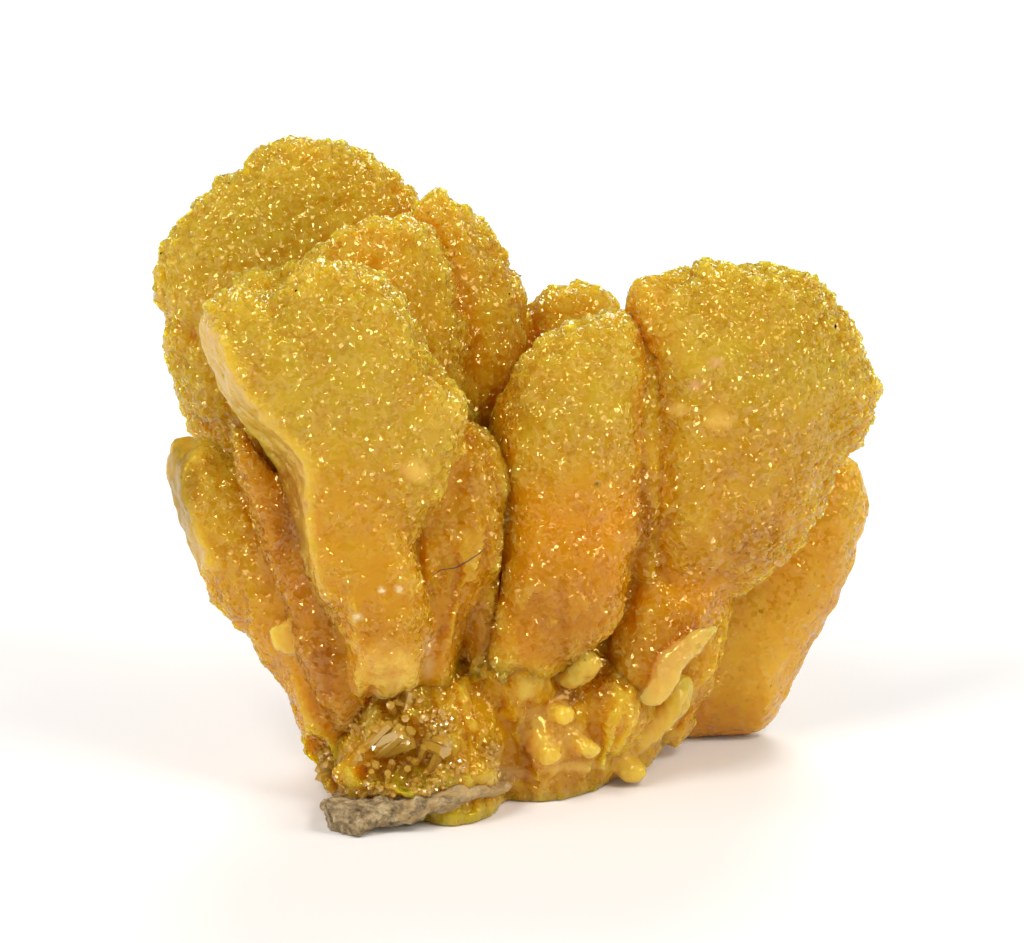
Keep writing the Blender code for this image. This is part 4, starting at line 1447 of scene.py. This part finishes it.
mimetite = mimetite_material()
for obj in skins:
    obj.data.materials.append(mimetite)
clear = clear_material()
for obj in (vug_crystals, edge_crystals, druse):
    obj.data.materials.append(clear)
rock.data.materials.append(rock_material())
hair.data.materials.append(plain_material("dark_lint", (0.05, 0.03, 0.01), 0.5))
print("materials:", sorted(made.name for made in bpy.data.materials))

# %% [markdown]
# ## What stands for what
# The nodes of the imported model that the pieces stand for are hidden, and every piece moves with
# the root body.

# %% Pieces and nodes
for obj in (*skins, druse):
    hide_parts("mimetite")
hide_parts("vug_crystals")
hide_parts("edge_crystals")
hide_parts("matrix")
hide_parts("mimetite")
for obj in (*skins, druse, vug_crystals, edge_crystals, rock, hair):
    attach(obj, "root")

# %% [markdown]
# ## Floor, light and camera
# Two soft, warm lights from the upper left and right model the petals, with weaker ones at both
# sides and a small one in front for the glints. A white one behind shines through the rims. The
# camera looks down by the tilt that the outlines were drawn at, through a long lens, which keeps
# the picture plane nearly flat.

# %% The floor
FLOOR_HALF = 6.0
FLOOR_Z = -0.00005


def flat_square(name, half, z):
    """A level square of that half width."""
    corners = np.array([[-half, -half, z], [half, -half, z], [half, half, z], [-half, half, z]])
    return new_piece(name, mesh_from(name, corners, [np.array([[0, 1, 2, 3]])]))


floor = flat_square("floor", FLOOR_HALF, FLOOR_Z)
floor.data.materials.append(plain_material("pale_floor", (0.9, 0.9, 0.9), 0.9))

# %% The lights: the place and size of each in metres, its watts and its colour
AIM = (0.0, 0.0, 0.015)
WARM = (1.0, 0.95, 0.9)
WHITE = (1.0, 1.0, 1.0)
LAMPS = {
    "key": ((-0.22, -0.26, 0.42), 0.17, 1.42, WARM),
    "second": ((0.24, -0.22, 0.44), 0.15, 1.0, WARM),
    "right": ((0.38, -0.12, 0.2), 0.2, 0.58, WARM),
    "left": ((-0.40, -0.10, 0.2), 0.2, 0.45, WARM),
    "front": ((0.06, -0.50, 0.22), 0.06, 0.27, WARM),
    "behind": ((0.05, 0.36, 0.30), 0.26, 1.3, WHITE),
}
SKY_STRENGTH = 0.18


def soft_light(name, place, size, watts, colour):
    """A square light that faces the specimen."""
    lamp = bpy.data.lights.new(name, "AREA")
    lamp.shape = "SQUARE"
    lamp.size = size
    lamp.energy = watts
    lamp.color = colour
    obj = bpy.data.objects.new(name, lamp)
    obj.location = place
    obj.rotation_euler = (Vector(AIM) - Vector(place)).to_track_quat("-Z", "Y").to_euler()
    bpy.context.scene.collection.objects.link(obj)


for name, how in LAMPS.items():
    soft_light(name, *how)
world = bpy.data.worlds.new("studio")
world.use_nodes = True
sky = world.node_tree.nodes["Background"].inputs
sky["Color"].default_value = WHITE + OPAQUE
sky["Strength"].default_value = SKY_STRENGTH
bpy.context.scene.world = world
bpy.context.scene.view_settings.view_transform = "Standard"

# %% The camera: a pixel in millimetres, and the pixel where X and V are 0
PIXEL = 0.0531
FRAME = (1024, 943)
ORIGIN_PIXEL = (520, 835)
FRAME_WIDTH = FRAME[0] * PIXEL
MIDDLE_X = (FRAME[0] / 2 - ORIGIN_PIXEL[0]) * PIXEL
MIDDLE_V = (ORIGIN_PIXEL[1] - FRAME[1] / 2) * PIXEL
DISTANCE = 1.0
TOWARDS_CAMERA = Vector((0.0, -math.cos(VIEW_TILT), math.sin(VIEW_TILT)))
camera_data = bpy.data.cameras.new("camera")
camera_data.lens = camera_data.sensor_width * DISTANCE / (FRAME_WIDTH * MM)
camera_data.clip_start = 0.05
camera_data.clip_end = 50.0
camera = bpy.data.objects.new("camera", camera_data)
target = to_space(MIDDLE_X, MIDDLE_V, MIDDLE[1]) * MM
camera.location = Vector(target) + DISTANCE * TOWARDS_CAMERA
camera.rotation_euler = (math.pi / 2 - VIEW_TILT, 0.0, 0.0)
bpy.context.scene.collection.objects.link(camera)
bpy.context.scene.camera = camera
